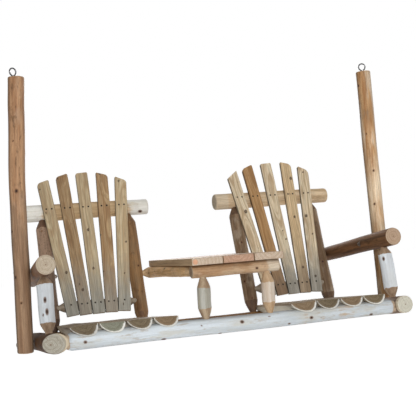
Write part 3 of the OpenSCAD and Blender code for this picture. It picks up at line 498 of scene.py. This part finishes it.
def makeLog(node, log):
    log = {**commonLog, **log}
    coned = "tenons" in log
    chance = random.Random(node)
    work, layers = newWork()
    length = (Vector(log["end"]) - Vector(log["start"])).length
    line = [work.verts.new((r, 0, z)) for z, r in logOutline(log, length)]
    edges = [work.edges.new(pair) for pair in zip(line, line[1:])]
    bays = {}
    for edge in edges:
        bays.setdefault(int(edge.calc_length() / logShape["bay"]), []).append(edge)
    for cuts, group in bays.items():
        if cuts:
            bmesh.ops.subdivide_edges(work, edges=group, cuts=cuts)
    spun(work, work.verts[:] + work.edges[:], (0, 0, 0), (0, 0, 1), 2 * math.pi, log["sides"], merge=True)
    bmesh.ops.remove_doubles(work, verts=work.verts, dist=logShape["doubles"])
    cutDepth = logShape["cutDepth"]
    worn = 0.0 if coned else log["rim"] * logShape["worn"]
    for face in work.faces:
        heights = [corner.co.z for corner in face.verts]
        cut = max(heights) < cutDepth + worn or min(heights) > length - cutDepth - worn
        face[layers["cutFace"]] = 1.0 if cut else 0.0

    seed = chance.uniform(0, 40)
    knots = list(log["knots"])
    for _ in range(int(length / logShape["knotEvery"])):  # knots on the sides that the camera doesn't see
        at = chance.uniform(*logShape["knotReach"]) * length
        turn = log["front"] + chance.uniform(*logShape["knotTurn"])
        knots.append((at, turn, chance.uniform(*logShape["knotSize"])))
    uneven, bow, (wide, reach) = log["uneven"], log["bow"], log["flare"]
    bowTurn = chance.uniform(0, 6.28)
    widest, play, sawReach = max(log["radii"]), logShape["pithPlay"], logShape["sawReach"]
    for vert in work.verts:
        x, y, z = vert.co
        radius, angle = math.hypot(x, y), math.atan2(y, x)
        pith = log.get("pith", (chance.uniform(-play, play), 0.0))
        vert[layers["grain"]] = (x - pith[0], y - pith[1], z + seed)
        vert[layers["shade"]] = log["shade"]
        around = (math.cos(angle), math.sin(angle))
        tone = 0.0
        if coned:
            ragged = logShape["ragged"] * noise.noise(Vector((around[0] * 2, around[1] * 2, seed)))
            for side, at in ((0, z), (1, length - z)):
                start = log["stubs"][side] + log["cones"][side]
                tone = max(tone, clamp((start + log["bare"] + ragged - at) / logShape["toneSoft"] + 0.5))
        arch = log["arch"] * math.sin(angle - math.radians(log["front"])) ** 2
        for low, high in log["zones"]:
            tone = max(tone, withinBand(z, low + arch, high - arch, log["soft"]) * log["zoneStrength"])
        vert[layers["tone"]] = tone
        # painted shade and highlight: stripes along a log, darker or lighter by their factor
        for centre, halfWidth, darker, low, high in log["shadeAndHighlightStripes"]:
            wobble = logShape["stripeWobble"] * noise.noise(Vector((centre, 0, z * 9 + seed)))
            gap = abs(turnFrom(angle, centre)) / (math.radians(halfWidth) + wobble)
            fade = clamp(1.25 - gap) * withinBand(z, low, high, logShape["stripeSoft"])
            vert[layers["shade"]] *= 1 + (darker - 1) * fade * fade * (3 - 2 * fade)
        for low, high, darker in log["shades"]:
            vert[layers["shade"]] *= 1 + (darker - 1) * withinBand(z, low, high, logShape["shadeSoft"])
        strongest, swell = 0.0, 0.0
        for at, turn, size in knots:
            dz = (z - at) / log["knotLong"]
            if abs(dz) < size * logShape["knotFade"]:
                gap = turnFrom(angle, turn) * max(radius, 0.01)
                strongest = max(strongest, knotStrength(dz, gap, size))
                swell = max(swell, knotStrength(dz, gap, size * logShape["swellWide"]))
        if radius < 0.7 * widest and not coned:
            strongest = 0.0
        vert[layers["knot"]] = strongest
        if radius > 1e-5:
            slow = noise.noise(Vector((around[0] * 0.8, around[1] * 0.8, z * 4.5 + seed)))
            quick = noise.noise(Vector((around[0] * 2.6, around[1] * 2.6, z * 16 + seed)))
            wider = 1 - uneven * (0.45 + 0.55 * slow) - uneven * 0.25 * (0.5 + 0.5 * quick)
            grown = radius * wider + (logShape["swell"] * swell if strongest or swell > 0.02 else 0)
            vert.co.x, vert.co.y = around[0] * grown, around[1] * grown
        if z < sawReach or z > length - sawReach:  # saw cuts aren't quite flat
            dip = logShape["sawDip"] * noise.noise(Vector((x * 45, y * 45, seed)))
            vert.co.z += dip if z > sawReach else -dip
        sway = math.sin(math.pi * z / length)
        vert.co.x += bow[0] * sway * math.sin(bow[2] * 6.28 * z / length + bowTurn)
        vert.co.y += bow[1] * sway * math.cos(bow[2] * 6.28 * z / length + bowTurn)
        vert.co.x *= 1 + wide * max(0, 1 - z / reach) ** 2
        for before, after in zip(log["bend"], log["bend"][1:]):
            if before[0] <= z / length <= after[0] + 1e-6:
                part = (z / length - before[0]) / (after[0] - before[0])
                part = part * part * (3 - 2 * part)
                vert.co.x += before[1] + (after[1] - before[1]) * part
                vert.co.y += before[2] + (after[2] - before[2]) * part
                break
    makePiece(node + "_wood", work, alongLine(log["start"], log["end"]), wood[log["wood"]], node)


# the two long poles
makeLog("left_hanger_pole", {
    "start": (-0.89069, 0.03676, -1.23814), "end": (-0.85931, 0.00066, -0.02209), "radii": (0.0365, 0.0368),
    "rim": 0.007, "wood": "poleRed", "bow": (0.0008, 0.002, 1.6), "sides": 48,
    "bend": [
        (0, -0.003, 0), (0.26, -0.005, 0), (0.42, -0.009, 0), (0.6, -0.009, 0), (0.88, -0.001, 0), (1, 0.004, 0)
    ],
    "knots": [
        (0.71, 257, 0.008), (0.534, 206, 0.006), (0.334, 215, 0.007), (0.222, 252, 0.005), (0.93, 240, 0.004),
        (1.08, 262, 0.003)
    ],
    "zones": [(-0.2, 0.62)], "soft": 0.45,
    # painted shade: dark stripes down the pole's sides darken its edges
    "shadeAndHighlightStripes": [(180, 42, 0.42, -1, 2), (345, 38, 0.5, -1, 0.5), (330, 25, 0.75, 0.5, 2)]
})
makeLog("right_hanger_pole", {
    "start": (0.89069, 0.03676, -1.23814), "end": (0.85931, 0.00066, -0.02209), "radii": (0.0365, 0.0372),
    "rim": 0.007, "wood": "poleGold", "uneven": 0.05, "bow": (0.0012, 0.002, 2.2), "sides": 48,
    "zones": [(0.36, 0.84)], "soft": 0.42, "zoneStrength": 0.72, "shades": [(-1, 0.47, 0.87)],
    # painted shade: dark stripes down both sides; painted highlight: a lighter stripe down the front
    "shadeAndHighlightStripes": [(155, 42, 0.42, -1, 2), (330, 24, 0.68, -1, 2), (262, 36, 1.2, 0.3, 0.98)],
    "bend": [(0, 0, 0), (0.36, 0, 0), (0.62, -0.0045, 0), (0.85, -0.0005, 0), (1, 0, 0)],
    "knots": [(1.145, 190, 0.006), (0.714, 252, 0.0055), (0.548, 232, 0.0055), (0.9, 225, 0.004)]
})

# the seat frame
makeLog("left_side_rail", {
    "start": (-0.813, -0.31527, -1.17933), "end": (-0.813, 0.3785, -1.22054), "radii": (0.043, 0.041),
    "rim": 0.007, "wood": "sideBrown", "front": 0, "sides": 48, "knots": [(0.11, 20, 0.006)],
    "bow": (0.0006, 0.0006, 1), "flare": (0.31, 0.12), "bend": [(0, -0.0075, 0), (0.2, 0, 0), (1, 0, 0)],
    "pith": (0.016, -0.002)
})
makeLog("right_side_rail", {
    "start": (0.813, -0.31527, -1.17933), "end": (0.813, 0.3785, -1.22054), "radii": (0.0405, 0.041),
    "rim": 0.005, "wood": "sidePale", "front": 0, "sides": 48, "zones": [(-0.05, 0.024)],
    "bow": (0.0006, 0.0006, 1), "bend": [(0, 0.015, 0.005), (0.3, 0.0005, 0), (1, 0, 0)]
})
makeLog("front_rail", {
    "start": (-0.808, -0.26137, -1.18253), "end": (0.808, -0.26137, -1.18253), "radii": (0.038, 0.034),
    "tenons": (0.025, 0.025), "stubs": (0.04, 0.04), "cones": (0.033, 0.033), "wood": "peeledWhite",
    "front": 195, "sides": 48, "uneven": 0.035, "bow": (0.0012, 0.0012, 1.7), "bare": -0.012,
    "knots": [
        (0.125, 187, 0.0062), (0.46, 241, 0.0085), (0.626, 164, 0.003), (0.714, 249, 0.007),
        (0.811, 167, 0.0072), (1.033, 221, 0.005), (1.139, 192, 0.0068), (1.441, 226, 0.007)
    ],
    # painted shadow: a dark stripe along the top, where the half logs shade the rail
    "shades": [(1.0, 1.8, 0.93)], "shadeAndHighlightStripes": [(95, 34, 0.62, -1, 3)],
    "zones": [(1.1, 1.13), (1.19, 1.21), (1.27, 1.36)], "zoneStrength": 0.42
})
makeLog("rear_rail", {
    "start": (-0.808, 0.32436, -1.22134), "end": (0.808, 0.32436, -1.22134), "radii": (0.037, 0.037),
    "tenons": (0.025, 0.025), "stubs": (0.04, 0.04), "cones": (0.033, 0.033), "wood": "postBrown", "front": 195
})

# front posts and arms
makeLog("left_front_post", {
    "start": (-0.813, -0.18045, -1.17053), "end": (-0.813, -0.12787, -0.88404), "radii": (0.034, 0.036),
    "tenons": (0.016, 0.016), "cones": (0.037, 0.03), "wood": "postWhite", "uneven": 0.04, "shade": 0.81,
    "knotLong": 1.7, "knots": [(0.162, 258, 0.006), (0.112, 266, 0.0066), (0.1, 236, 0.003)]
})
makeLog("right_front_post", {
    "start": (0.813, -0.18045, -1.17053), "end": (0.813, -0.12787, -0.88404), "radii": (0.034, 0.034),
    "tenons": (0.016, 0.016), "cones": (0.037, 0.03), "wood": "postWhite", "uneven": 0.04, "knotLong": 1.3,
    "knots": [(0.207, 222, 0.006)]
})
makeLog("left_arm", {
    "start": (-0.813, -0.23637, -0.85853), "end": (-0.79686, 0.46752, -0.92756), "radii": (0.0425, 0.038),
    "rim": 0.004, "wood": "armBrown", "front": 0, "sides": 48, "uneven": 0.04, "bow": (0.0008, 0.0008, 1)
})
makeLog("right_arm", {
    "start": (0.813, -0.23637, -0.85853), "end": (0.79686, 0.46752, -0.92756), "radii": (0.0425, 0.038),
    "rim": 0.004, "wood": "armRed", "front": 0, "sides": 48, "uneven": 0.04, "knots": [(0.189, 321, 0.006)],
    "bow": (0.0008, 0.0008, 1)
})

# back posts: their feet and heads are cut to a cone like a pencil
backPosts = {
    "left_outer_back_post": {
        "x": -0.726, "wood": "postDark", "shade": 1.05, "knots": [(0.53, 250, 0.004)],
        # painted shadow: the lower part, behind the front post, is darkened
        "shades": [(-0.1, 0.36, 0.6)]
    },
    "left_inner_back_post": {"x": -0.29, "wood": "postBrown", "knots": [(0.314, 288, 0.0055)]},
    "right_inner_back_post": {
        "x": 0.29, "wood": "postGrey", "knots": [(0.391, 262, 0.0065), (0.184, 222, 0.006), (0.09, 262, 0.005)]
    },
    "right_outer_back_post": {"x": 0.726, "wood": "postGrey", "shade": 0.95, "knots": [(0.249, 258, 0.0075)]},
}
for node, post in backPosts.items():
    makeLog(node, {
        "start": (post["x"], 0.32692, -1.21271), "end": (post["x"], 0.50301, -0.61824), "radii": (0.035, 0.035),
        "tenons": (0.018, 0.016), "cones": (0.054, 0.04), "uneven": 0.04, **post
    })

# rails of the backs
makeLog("left_top_rail", {
    "start": (-0.833, 0.50727, -0.60386), "end": (-0.183, 0.50727, -0.60386), "radii": (0.043, 0.04),
    "rim": 0.008, "wood": "creamRail", "front": 200, "sides": 48, "zones": [(0.11, 0.56)], "arch": 0.05,
    "soft": 0.05, "knots": [(0.604, 217, 0.0085)], "uneven": 0.035
})
makeLog("right_top_rail", {
    "start": (0.183, 0.50727, -0.60386), "end": (0.833, 0.50727, -0.60386), "radii": (0.043, 0.04),
    "rim": 0.009, "wood": "tanRail", "front": 200, "sides": 48, "zones": [(-0.05, 0.07)],
    "knots": [(0.53, 230, 0.004)], "uneven": 0.045
})
for node, x in (("left_lower_rail", -0.719), ("right_lower_rail", 0.297)):
    makeLog(node, {
        "start": (x, 0.35402, -1.07368), "end": (x + 0.422, 0.35402, -1.07368), "radii": (0.026, 0.026),
        "tenons": (0.0135, 0.0135), "cones": (0.026, 0.026), "wood": "railGrey", "front": 200, "sides": 36,
        "shade": 0.95
    })

# the table's logs
makeLog("left_table_post", {
    "start": (-0.149, -0.26137, -1.17414), "end": (-0.149, -0.26137, -0.94253), "radii": (0.03, 0.03),
    "tenons": (0.015, 0.015), "cones": (0.042, 0.042), "wood": "paleTurned", "sides": 40
})
makeLog("right_table_post", {
    "start": (0.149, -0.26137, -1.17492), "end": (0.149, -0.26137, -0.94253), "radii": (0.03, 0.03),
    "tenons": (0.015, 0.015), "cones": (0.042, 0.042), "wood": "orangeTurned", "sides": 40
})
makeLog("table_cross_log", {
    "start": (-0.2, -0.26137, -0.94253), "end": (0.205, -0.26137, -0.94253), "radii": (0.028, 0.028),
    "rim": 0.004, "wood": "crossTan", "front": 200, "zones": [(0.35, 0.46)], "soft": 0.07,
    "knots": [(0.295, 193, 0.0055)], "uneven": 0.02
})
for side, node in ((-1, "left_table_side_log"), (1, "right_table_side_log")):
    makeLog(node, {
        "start": (side * 0.1816, -0.25062, -0.93953), "end": (side * 0.21741, 0.3962, -0.93953),
        "radii": (0.025, 0.025), "tenons": (0.013, 0.013), "stubs": (0.02, 0.02), "cones": (0.035, 0.035),
        "wood": "sideTan", "front": 30, "sides": 40,
        "knots": [(0.36, 40, 0.0065), (0.5, 10, 0.003)] if side < 0 else []
    })
makeLog("table_rear_log", {
    "start": (-0.283, 0.40695, -0.94253), "end": (0.283, 0.40695, -0.94253), "radii": (0.028, 0.028),
    "tenons": (0.014, 0.014), "cones": (0.03, 0.03), "wood": "sideTan", "front": 200, "sides": 40
})
print("logs done")


# ---- back slats: an outline with a cut tip, given its thickness, then cut into short bays

# edge: the width of the band along each long side that a piece's edge factor darkens, as painted shade
sawnShape = {"edge": 0.0016, "shrink": 0.0004, "edgeWave": 0.0011, "faceWave": 0.0007}


def finishSawn(work, layers, width, board, chance):
    seed = chance.uniform(0, 40)
    for face in work.faces:
        face[layers["cutFace"]] = 1.0 if abs(face.normal.z) > 0.8 else 0.0
    for vert in work.verts:
        x, y, z = vert.co
        vert[layers["grain"]] = (x + board["pith"][0], y + board["pith"][1], z + seed)
        # painted shade: the long edges are darkened by the piece's edge factor, standing in for the shade in
        # the gaps between slats
        inside = clamp((width / 2 - abs(x)) / sawnShape["edge"])
        vert[layers["shade"]] = board.get("shade", 1.0) * (board.get("edge", 1.0) * (1 - inside) + inside)
        vert[layers["tone"]] = board["tone"](x, z)
        vert[layers["knot"]] = max([0.0] + [
            knotStrength(z - kz, x - kx, size) for kx, kz, size in board["knots"]
        ])
        edge = abs(x) / (width / 2)
        side = math.copysign(1, x)
        wave = sawnShape["edgeWave"] * edge * noise.noise(Vector((side, z * 7, seed)))
        vert.co.x += wave - sawnShape["shrink"] * edge * side
        vert.co.y += sawnShape["faceWave"] * noise.noise(Vector((x * 8, z * 3, seed + 3)))


def cutIntoBays(work, step):
    for axis, normal in ((0, (1, 0, 0)), (2, (0, 0, 1))):
        low = min(v.co[axis] for v in work.verts)
        high = max(v.co[axis] for v in work.verts)
        cutAlong(work, normal, low + step, high - step * 0.4, step)


# edge: how dark a slat's long edges are painted, as the shade in the gaps between slats
slatShape = {
    "width": 0.061, "thick": 0.0172, "face": -0.0567, "foot": 0.097, "bay": 0.007, "ease": 0.0014,
    "backLean": 16.5, "rear": (0.32436, -1.22134), "edge": 0.32,
}


def makeSlat(node, chairX, slat):
    chance = random.Random(node)
    work, layers = newWork()
    half = slatShape["width"] / 2
    outline = ((-half, 0, 0), (half, 0, 0), (half, 0, slat["tip"][1]), (-half, 0, slat["tip"][0]))
    corners = [work.verts.new(point) for point in outline]
    work.faces.new(corners)
    for corner, cut in ((corners[2], slat["round"][1]), (corners[3], slat["round"][0])):
        if cut > 0.0015:
            eased(work, [corner], cut, 4, "VERTICES")
    pulledOut(work, (0, slatShape["thick"], 0))
    eased(work, sharpEdges(work), slatShape["ease"], 2)
    cutIntoBays(work, slatShape["bay"])
    # painted shade: each slat turns to its grey second tone towards its foot, fading out at the given height
    footShadeTo = slat.get("footShadeTo", 0.36)
    board = {**slat, "pith": (chance.uniform(-0.03, 0.03), chance.uniform(0.02, 0.06)),
             "tone": lambda x, z: clamp(1 - z / footShadeTo) * 0.95, "edge": slatShape["edge"]}
    finishSawn(work, layers, half * 2, board, chance)
    place = (Matrix.Translation((chairX, *slatShape["rear"]))
             @ Matrix.Rotation(-math.radians(slatShape["backLean"]), 4, "X")
             @ Matrix.Translation((slat["x"], slatShape["face"], slatShape["foot"]))
             @ Matrix.Rotation(math.radians(slat["lean"]), 4, "Y"))
    makePiece(node + "_wood", work, place, wood[slat["wood"]], node)


leftSlats = [
    {
        "x": -0.1257, "lean": -6.2, "tip": (0.692, 0.704), "round": (0.016, 0.008), "wood": "slatBeige",
        "knots": [(0.013, 0.215, 0.0065), (-0.022, 0.66, 0.004)], "shade": 0.97
    },
    {
        "x": -0.0632, "lean": -3.25, "tip": (0.717, 0.732), "round": (0.013, 0.01), "wood": "slatPink",
        "knots": [(0.003, 0.122, 0.0065), (-0.023, 0.709, 0.004)]
    },
    {
        "x": -0.0006, "lean": -0.2, "tip": (0.73, 0.734), "round": (0.01, 0.008), "wood": "slatBeige",
        "knots": [(-0.003, 0.425, 0.0065), (-0.001, 0.225, 0.006)], "shade": 1.02
    },
    {
        "x": 0.062, "lean": 3.05, "tip": (0.729, 0.715), "round": (0.004, 0.015), "wood": "slatPink",
        "knots": [(-0.011, 0.724, 0.007), (-0.03, 0.391, 0.004), (-0.029, 0.203, 0.004)], "shade": 1.18
    },
    {
        "x": 0.1245, "lean": 5.8, "tip": (0.703, 0.683), "round": (0.006, 0.014), "wood": "slatBeige",
        "knots": [(-0.011, 0.678, 0.0055), (0.016, 0.352, 0.005), (0.003, 0.187, 0.004)], "shade": 1.14
    },
]
rightSlats = [
    {
        "x": -0.1224, "lean": -7.8, "tip": (0.667, 0.702), "round": (0.002, 0.003), "wood": "slatPale",
        "knots": [(0.008, 0.467, 0.0085), (0.014, 0.259, 0.003)], "footShadeTo": 0.12
    },
    {
        "x": -0.0583, "lean": -5.2, "tip": (0.711, 0.73), "round": (0.016, 0.01), "wood": "slatOrange",
        "knots": [(-0.007, 0.43, 0.003)]
    },
    {
        "x": 0.0058, "lean": -1.5, "tip": (0.731, 0.734), "round": (0.006, 0.006), "wood": "slatPale",
        "knots": [(0.01, 0.343, 0.003), (0.021, 0.295, 0.005)]
    },
    {
        "x": 0.0699, "lean": 2.6, "tip": (0.735, 0.722), "round": (0.004, 0.02), "wood": "slatGold",
        "knots": [(0.018, 0.638, 0.0075), (0.003, 0.416, 0.006), (0.006, 0.135, 0.006)]
    },
    {
        "x": 0.1339, "lean": 5.4, "tip": (0.707, 0.683), "round": (0.008, 0.022), "wood": "slatPale",
        "knots": [(-0.001, 0.671, 0.005), (-0.013, 0.417, 0.0075), (0.011, 0.316, 0.0045), (0.0, 0.081, 0.006)]
    },
]
for index in range(5):
    makeSlat("left_back_slat_%d" % (index + 1), -0.508, leftSlats[index])
    makeSlat("right_back_slat_%d" % (index + 1), 0.508, rightSlats[index])
print("back slats done")


# ---- half logs of the seats: a split face on top and a round side below

halfShape = {
    "radius": 0.05869, "play": 0.0004, "centre": 0.01269, "length": 0.655, "corners": (0.012, 0.0045),
    "rim": 0.003, "firstCut": 0.012, "lastCut": 0.008, "bay": 0.014, "pithX": 0.004, "bareDepth": 0.006,
    "roundSteps": 15, "topCuts": 13, "splitWave": 0.0009, "roundWave": 0.0012,
}


def makeHalfLog(node, look):
    chance = random.Random(node)
    work, layers = newWork()
    radius, centre, length = halfShape["radius"] - halfShape["play"], halfShape["centre"], halfShape["length"]
    dip = math.asin(centre / radius)
    first = work.verts.new((radius * math.cos(dip), 0, 0))
    spun(work, [first], (0, centre, 0), (0, 0, 1), -(math.pi - 2 * dip), halfShape["roundSteps"])
    tips = sorted([v for v in work.verts if len(v.link_edges) == 1], key=lambda v: v.co.x)
    work.edges.new(tips)
    bmesh.ops.contextual_create(work, geom=work.edges[:])
    for tip, cut in zip(tips, halfShape["corners"]):  # the right edge is rounder than the left one
        eased(work, [tip], cut, 5, "VERTICES")
    longest = max(work.edges, key=lambda e: e.calc_length())
    bmesh.ops.subdivide_edges(work, edges=[longest], cuts=halfShape["topCuts"])
    pulledOut(work, (0, 0, length))
    rims = [e for e in work.edges if abs(e.verts[0].co.z - e.verts[1].co.z) < 1e-6]
    eased(work, rims, halfShape["rim"], 2)
    cutAlong(work, (0, 0, 1), halfShape["firstCut"], length - halfShape["lastCut"], halfShape["bay"])
    seed = chance.uniform(0, 40)
    for face in work.faces:
        face[layers["cutFace"]] = 1.0 if abs(face.normal.z) > 0.85 else 0.0
    roll = Matrix.Rotation(math.radians(look["roll"]), 2)
    for vert in work.verts:
        px, py, pz = vert.co
        narrow = look["wide"] - look["taper"] * (pz / length) ** 1.2 if px * look["outer"] > 0 else 1.0
        aside = px - look["lean"] * radius * (1 - (px / radius) ** 2)  # its belly lies to the right
        turned = roll @ Vector((aside * narrow, py * look["deep"] - centre))
        vert.co.x, vert.co.y = turned.x, turned.y + centre
        vert[layers["grain"]] = (px - halfShape["pithX"], py - centre, pz + seed)
        vert[layers["shade"]] = look["shade"]
        vert[layers["tone"]] = 1.0 if py < -halfShape["bareDepth"] else 0.0
        if py > -0.0002:  # the split face
            uneven = 0.5 + 0.5 * noise.noise(Vector((px * 14, pz * 5, seed)))
            vert.co.y -= halfShape["splitWave"] * uneven
        else:
            uneven = 0.5 + 0.5 * noise.noise(Vector((px * 18, py * 18, pz * 6 + seed)))
            inward = halfShape["roundWave"] * uneven
            out = Vector((px, py - centre)).normalized()
            vert.co.x -= out.x * inward
            vert.co.y -= out.y * inward
    makePiece(node + "_wood", work, alongLine(look["start"], look["end"]), wood[look["wood"]], node)


# the right seat's half logs lie a little askew
seatRows = {
    "left": {
        "xs": (-0.6814, -0.5658, -0.4502, -0.3346), "start": (0, -0.29556, -1.11739),
        "end": (0, 0.35828, -1.15623),
        "looks": {
            "shade": (0.8, 1.08, 0.92, 0.98), "roll": (-3.5, 0.8, -0.6, 0.8), "lean": (0.34, 0.32, 0.34, 0.28),
            "deep": (1.12, 1, 1, 1), "wood": ("seatOlive", "seatGrey", "seatOlive", "seatTan")
        }
    },
    "right": {
        "xs": (0.3346, 0.4502, 0.5658, 0.6814), "start": (-0.03053, -0.29482, -1.11743),
        "end": (0.00147, 0.35824, -1.15623),
        "looks": {
            "shade": (1.0, 0.86, 0.95, 1.05), "roll": (-3, 0.7, -1, 1.2), "lean": (0.34, 0.22, 0.32, 0.26),
            "deep": (1.04, 1, 1, 1), "wood": ("seatTan", "seatOlive", "seatTan", "seatOlive")
        }
    },
}
# the same in both seats
rowEdges = {"outer": (1, 0, 0, -1), "wide": (1.2, 1, 1, 1), "taper": (0.62, 0, 0, 0.3)}
for side, row in seatRows.items():
    for index in range(4):
        x = Vector((row["xs"][index], 0, 0))
        look = {key: values[index] for key, values in {**rowEdges, **row["looks"]}.items()}
        look.update(start=x + Vector(row["start"]), end=x + Vector(row["end"]))
        makeHalfLog("%s_seat_slat_%d" % (side, index + 1), look)
print("half logs done")


# ---- table boards

boardShape = {
    "width": 0.1394, "thick": 0.0311, "length": 0.7826, "front": -0.3311, "bottom": -0.9141, "bay": 0.012,
    "rearEase": 0.007, "ease": 0.002, "edgeTone": 0.9, "faceTone": 0.12,
}


def makeBoard(node, board):
    chance = random.Random(node)
    work, layers = newWork()
    width, thick, length = boardShape["width"], boardShape["thick"], boardShape["length"]
    bmesh.ops.create_cube(work, size=1)
    bmesh.ops.scale(work, vec=(width, thick, length), verts=work.verts)
    bmesh.ops.translate(work, vec=(0, thick / 2, length / 2), verts=work.verts)
    for sideX, endZ, cut in board["rounds"]:  # standing corners that were rounded
        edge = [e for e in work.edges
                if all(v.co.x * sideX > 0 and (v.co.z > length / 2) == (endZ > 0) for v in e.verts)]
        eased(work, edge, cut, 4)
    rear = [e for e in sharpEdges(work)
            if all(v.co.z > length - 1e-5 for v in e.verts) and abs(e.verts[0].co.y - e.verts[1].co.y) < 1e-6]
    eased(work, rear, boardShape["rearEase"], 3)
    eased(work, sharpEdges(work), boardShape["ease"], 2)
    cutIntoBays(work, boardShape["bay"])
    details = {"pith": (chance.uniform(-0.02, 0.02), -0.05), **board,
               "tone": lambda px, pz: boardShape["edgeTone" if abs(px) > width / 2 - 0.001 else "faceTone"]}
    finishSawn(work, layers, width, details, chance)
    # the board's own X runs left, its Y up and its Z to the rear
    turned = Matrix(((-1, 0, 0, 0), (0, 0, 1, 0), (0, 1, 0, 0), (0, 0, 0, 1)))
    place = Matrix.Translation((board["x"], boardShape["front"], boardShape["bottom"])) @ turned
    makePiece(node + "_wood", work, place, wood[board["wood"]], node)


boards = {
    "table_board_1": {
        "x": -0.1426, "wood": "boardTan", "pith": (-0.055, -0.015), "rounds": [(1, 1, 0.014)],
        "knots": [(0.03, 0.3, 0.008)]
    },
    "table_board_2": {
        "x": 0.0, "wood": "boardRed", "rounds": [], "knots": [(-0.02, 0.42, 0.007)], "shade": 0.95
    },
    "table_board_3": {
        "x": 0.1426, "wood": "boardTan", "rounds": [(-1, -1, 0.014), (-1, 1, 0.014)],
        "knots": [(0.01, 0.18, 0.006)], "shade": 0.98
    },
}
for node, board in boards.items():
    makeBoard(node, board)
print("table boards done")


# ---- eyes: one wire, bent and swept from its shank up, round the ring and back to the neck

eyeShape = {
    "wire": 0.00329, "sides": 20, "shank": (0, 0, -0.03), "rise": (0, 0, 0.00807),
    "bendCentre": (-0.004, 0, -0.02203), "bendTurn": -56, "bendSteps": 6, "slant": (-0.007464, 0, 0.00503),
    "ringTurn": 292, "ringSteps": 56, "tail": (-0.003717, 0, -0.0025), "tilt": 1.7, "doubles": 0.00001,
}


def growLoop(work, loop, offset):
    grown = bmesh.ops.extrude_edge_only(work, edges=loop)["geom"]
    verts = [part for part in grown if isinstance(part, bmesh.types.BMVert)]
    edges = [part for part in grown if isinstance(part, bmesh.types.BMEdge)]
    bmesh.ops.translate(work, vec=offset, verts=verts)
    return [edge for edge in edges if all(v in verts for v in edge.verts)]


def turnLoop(work, loop, centre, degrees, steps):
    corners = list({v for e in loop for v in e.verts})
    turned = spun(work, corners + loop, centre, (0, 1, 0), math.radians(degrees), steps)
    return [part for part in turned["geom_last"] if isinstance(part, bmesh.types.BMEdge)]


def makeEye(node, body, eye):
    work = bmesh.new()
    made = bmesh.ops.create_circle(work, cap_ends=False, radius=eyeShape["wire"], segments=eyeShape["sides"])
    bmesh.ops.translate(work, vec=eyeShape["shank"], verts=made["verts"])
    first = work.edges[:]
    loop = growLoop(work, first, eyeShape["rise"])
    loop = turnLoop(work, loop, eyeShape["bendCentre"], eyeShape["bendTurn"], eyeShape["bendSteps"])
    loop = growLoop(work, loop, eyeShape["slant"])
    loop = turnLoop(work, loop, (0, 0, 0), eyeShape["ringTurn"], eyeShape["ringSteps"])
    loop = growLoop(work, loop, eyeShape["tail"])
    bmesh.ops.edgeloop_fill(work, edges=loop)
    bmesh.ops.edgeloop_fill(work, edges=first)
    bmesh.ops.remove_doubles(work, verts=work.verts, dist=eyeShape["doubles"])
    place = Matrix.Translation(eye["place"])
    for degrees, axis in ((eye["lean"], "Y"), (eyeShape["tilt"], "X"), (eye["turn"], "Z")):
        place = place @ Matrix.Rotation(math.radians(degrees), 4, axis)
    makePiece(node + "_wire", work, place, steel["eyeSteel"], node, body)


leftEye = {"place": (-0.867735, 0, 0.000231), "lean": 1.478, "turn": 30}
makeEye("left_eye_bolt", "left_eye", leftEye)
rightEye = {"place": (0.854739, 0, -0.000104), "lean": -1.478, "turn": -12}
makeEye("right_eye_bolt", "right_eye", rightEye)
print("eyes done")

# bolts, washers, nuts and screws keep their own shape
fasteners = {
    "boltSteel": ("pole_bolts", "arm_bolts", "bolt_washers", "bolt_nuts"),
    "screwSteel": ("left_back_screws", "right_back_screws", "seat_screws", "table_screws"),
}
for finish, nodes in fasteners.items():
    for node in nodes:
        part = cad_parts[node]
        part.data.materials.clear()
        part.data.materials.append(steel[finish])

# ---- floor, backdrop and light

studio = {
    "floorZ": -1.9, "floorTone": (0.86, 0.86, 0.86), "floorGlow": 0.76, "skyForLight": 0.29, "aim": (0, 0, -0.8)
}
lamps = {  # place, size and power
    "key": ((-0.7, -4.9, -0.1), 1.5, 143),
    "side": ((-4.0, -0.6, -0.5), 1.5, 19),
    "right": ((4.2, 1.5, -0.2), 1.5, 50),
    "behind": ((1.6, 4.8, 0.4), 2.0, 130),
    "above": ((1.2, -1.0, 3.0), 2.5, 16),
}
floorWork = bmesh.new()
bmesh.ops.create_grid(floorWork, x_segments=1, y_segments=1, size=40)
bmesh.ops.translate(floorWork, vec=(0, 0, studio["floorZ"]), verts=floorWork.verts)
floorMesh = bpy.data.meshes.new("floor")
floorWork.to_mesh(floorMesh)
floorWork.free()
floor = bpy.data.objects.new("floor", floorMesh)
bpy.context.scene.collection.objects.link(floor)
floorMaterial, tree, floorShader = newMaterial("paleFloor")
floorShader.inputs["Base Color"].default_value = (*studio["floorTone"], 1)
floorShader.inputs["Roughness"].default_value = 0.9
floorShader.inputs["Specular IOR Level"].default_value = 0.0
floorShader.inputs["Emission Color"].default_value = (1, 1, 1, 1)
tree.links.new(
    sums("MULTIPLY", seenDirectly(tree), studio["floorGlow"]), floorShader.inputs["Emission Strength"])
floorMesh.materials.append(floorMaterial)

world = bpy.data.worlds.new("studio")
bpy.context.scene.world = world
world.use_nodes = True
tree = world.node_tree
background = tree.nodes["Background"]
background.inputs["Color"].default_value = (1, 1, 1, 1)
tree.links.new(between(seenDirectly(tree), 0, 1, studio["skyForLight"], 1.0), background.inputs["Strength"])

for name, (place, size, power) in lamps.items():
    lampData = bpy.data.lights.new(name, "AREA")
    lampData.shape = "SQUARE"
    lampData.size = size
    lampData.energy = power
    lamp = bpy.data.objects.new(name, lampData)
    lamp.location = place
    lamp.rotation_euler = (Vector(studio["aim"]) - Vector(place)).to_track_quat("-Z", "Y").to_euler()
    bpy.context.scene.collection.objects.link(lamp)
bpy.context.scene.view_settings.view_transform = "Standard"
print("light done")
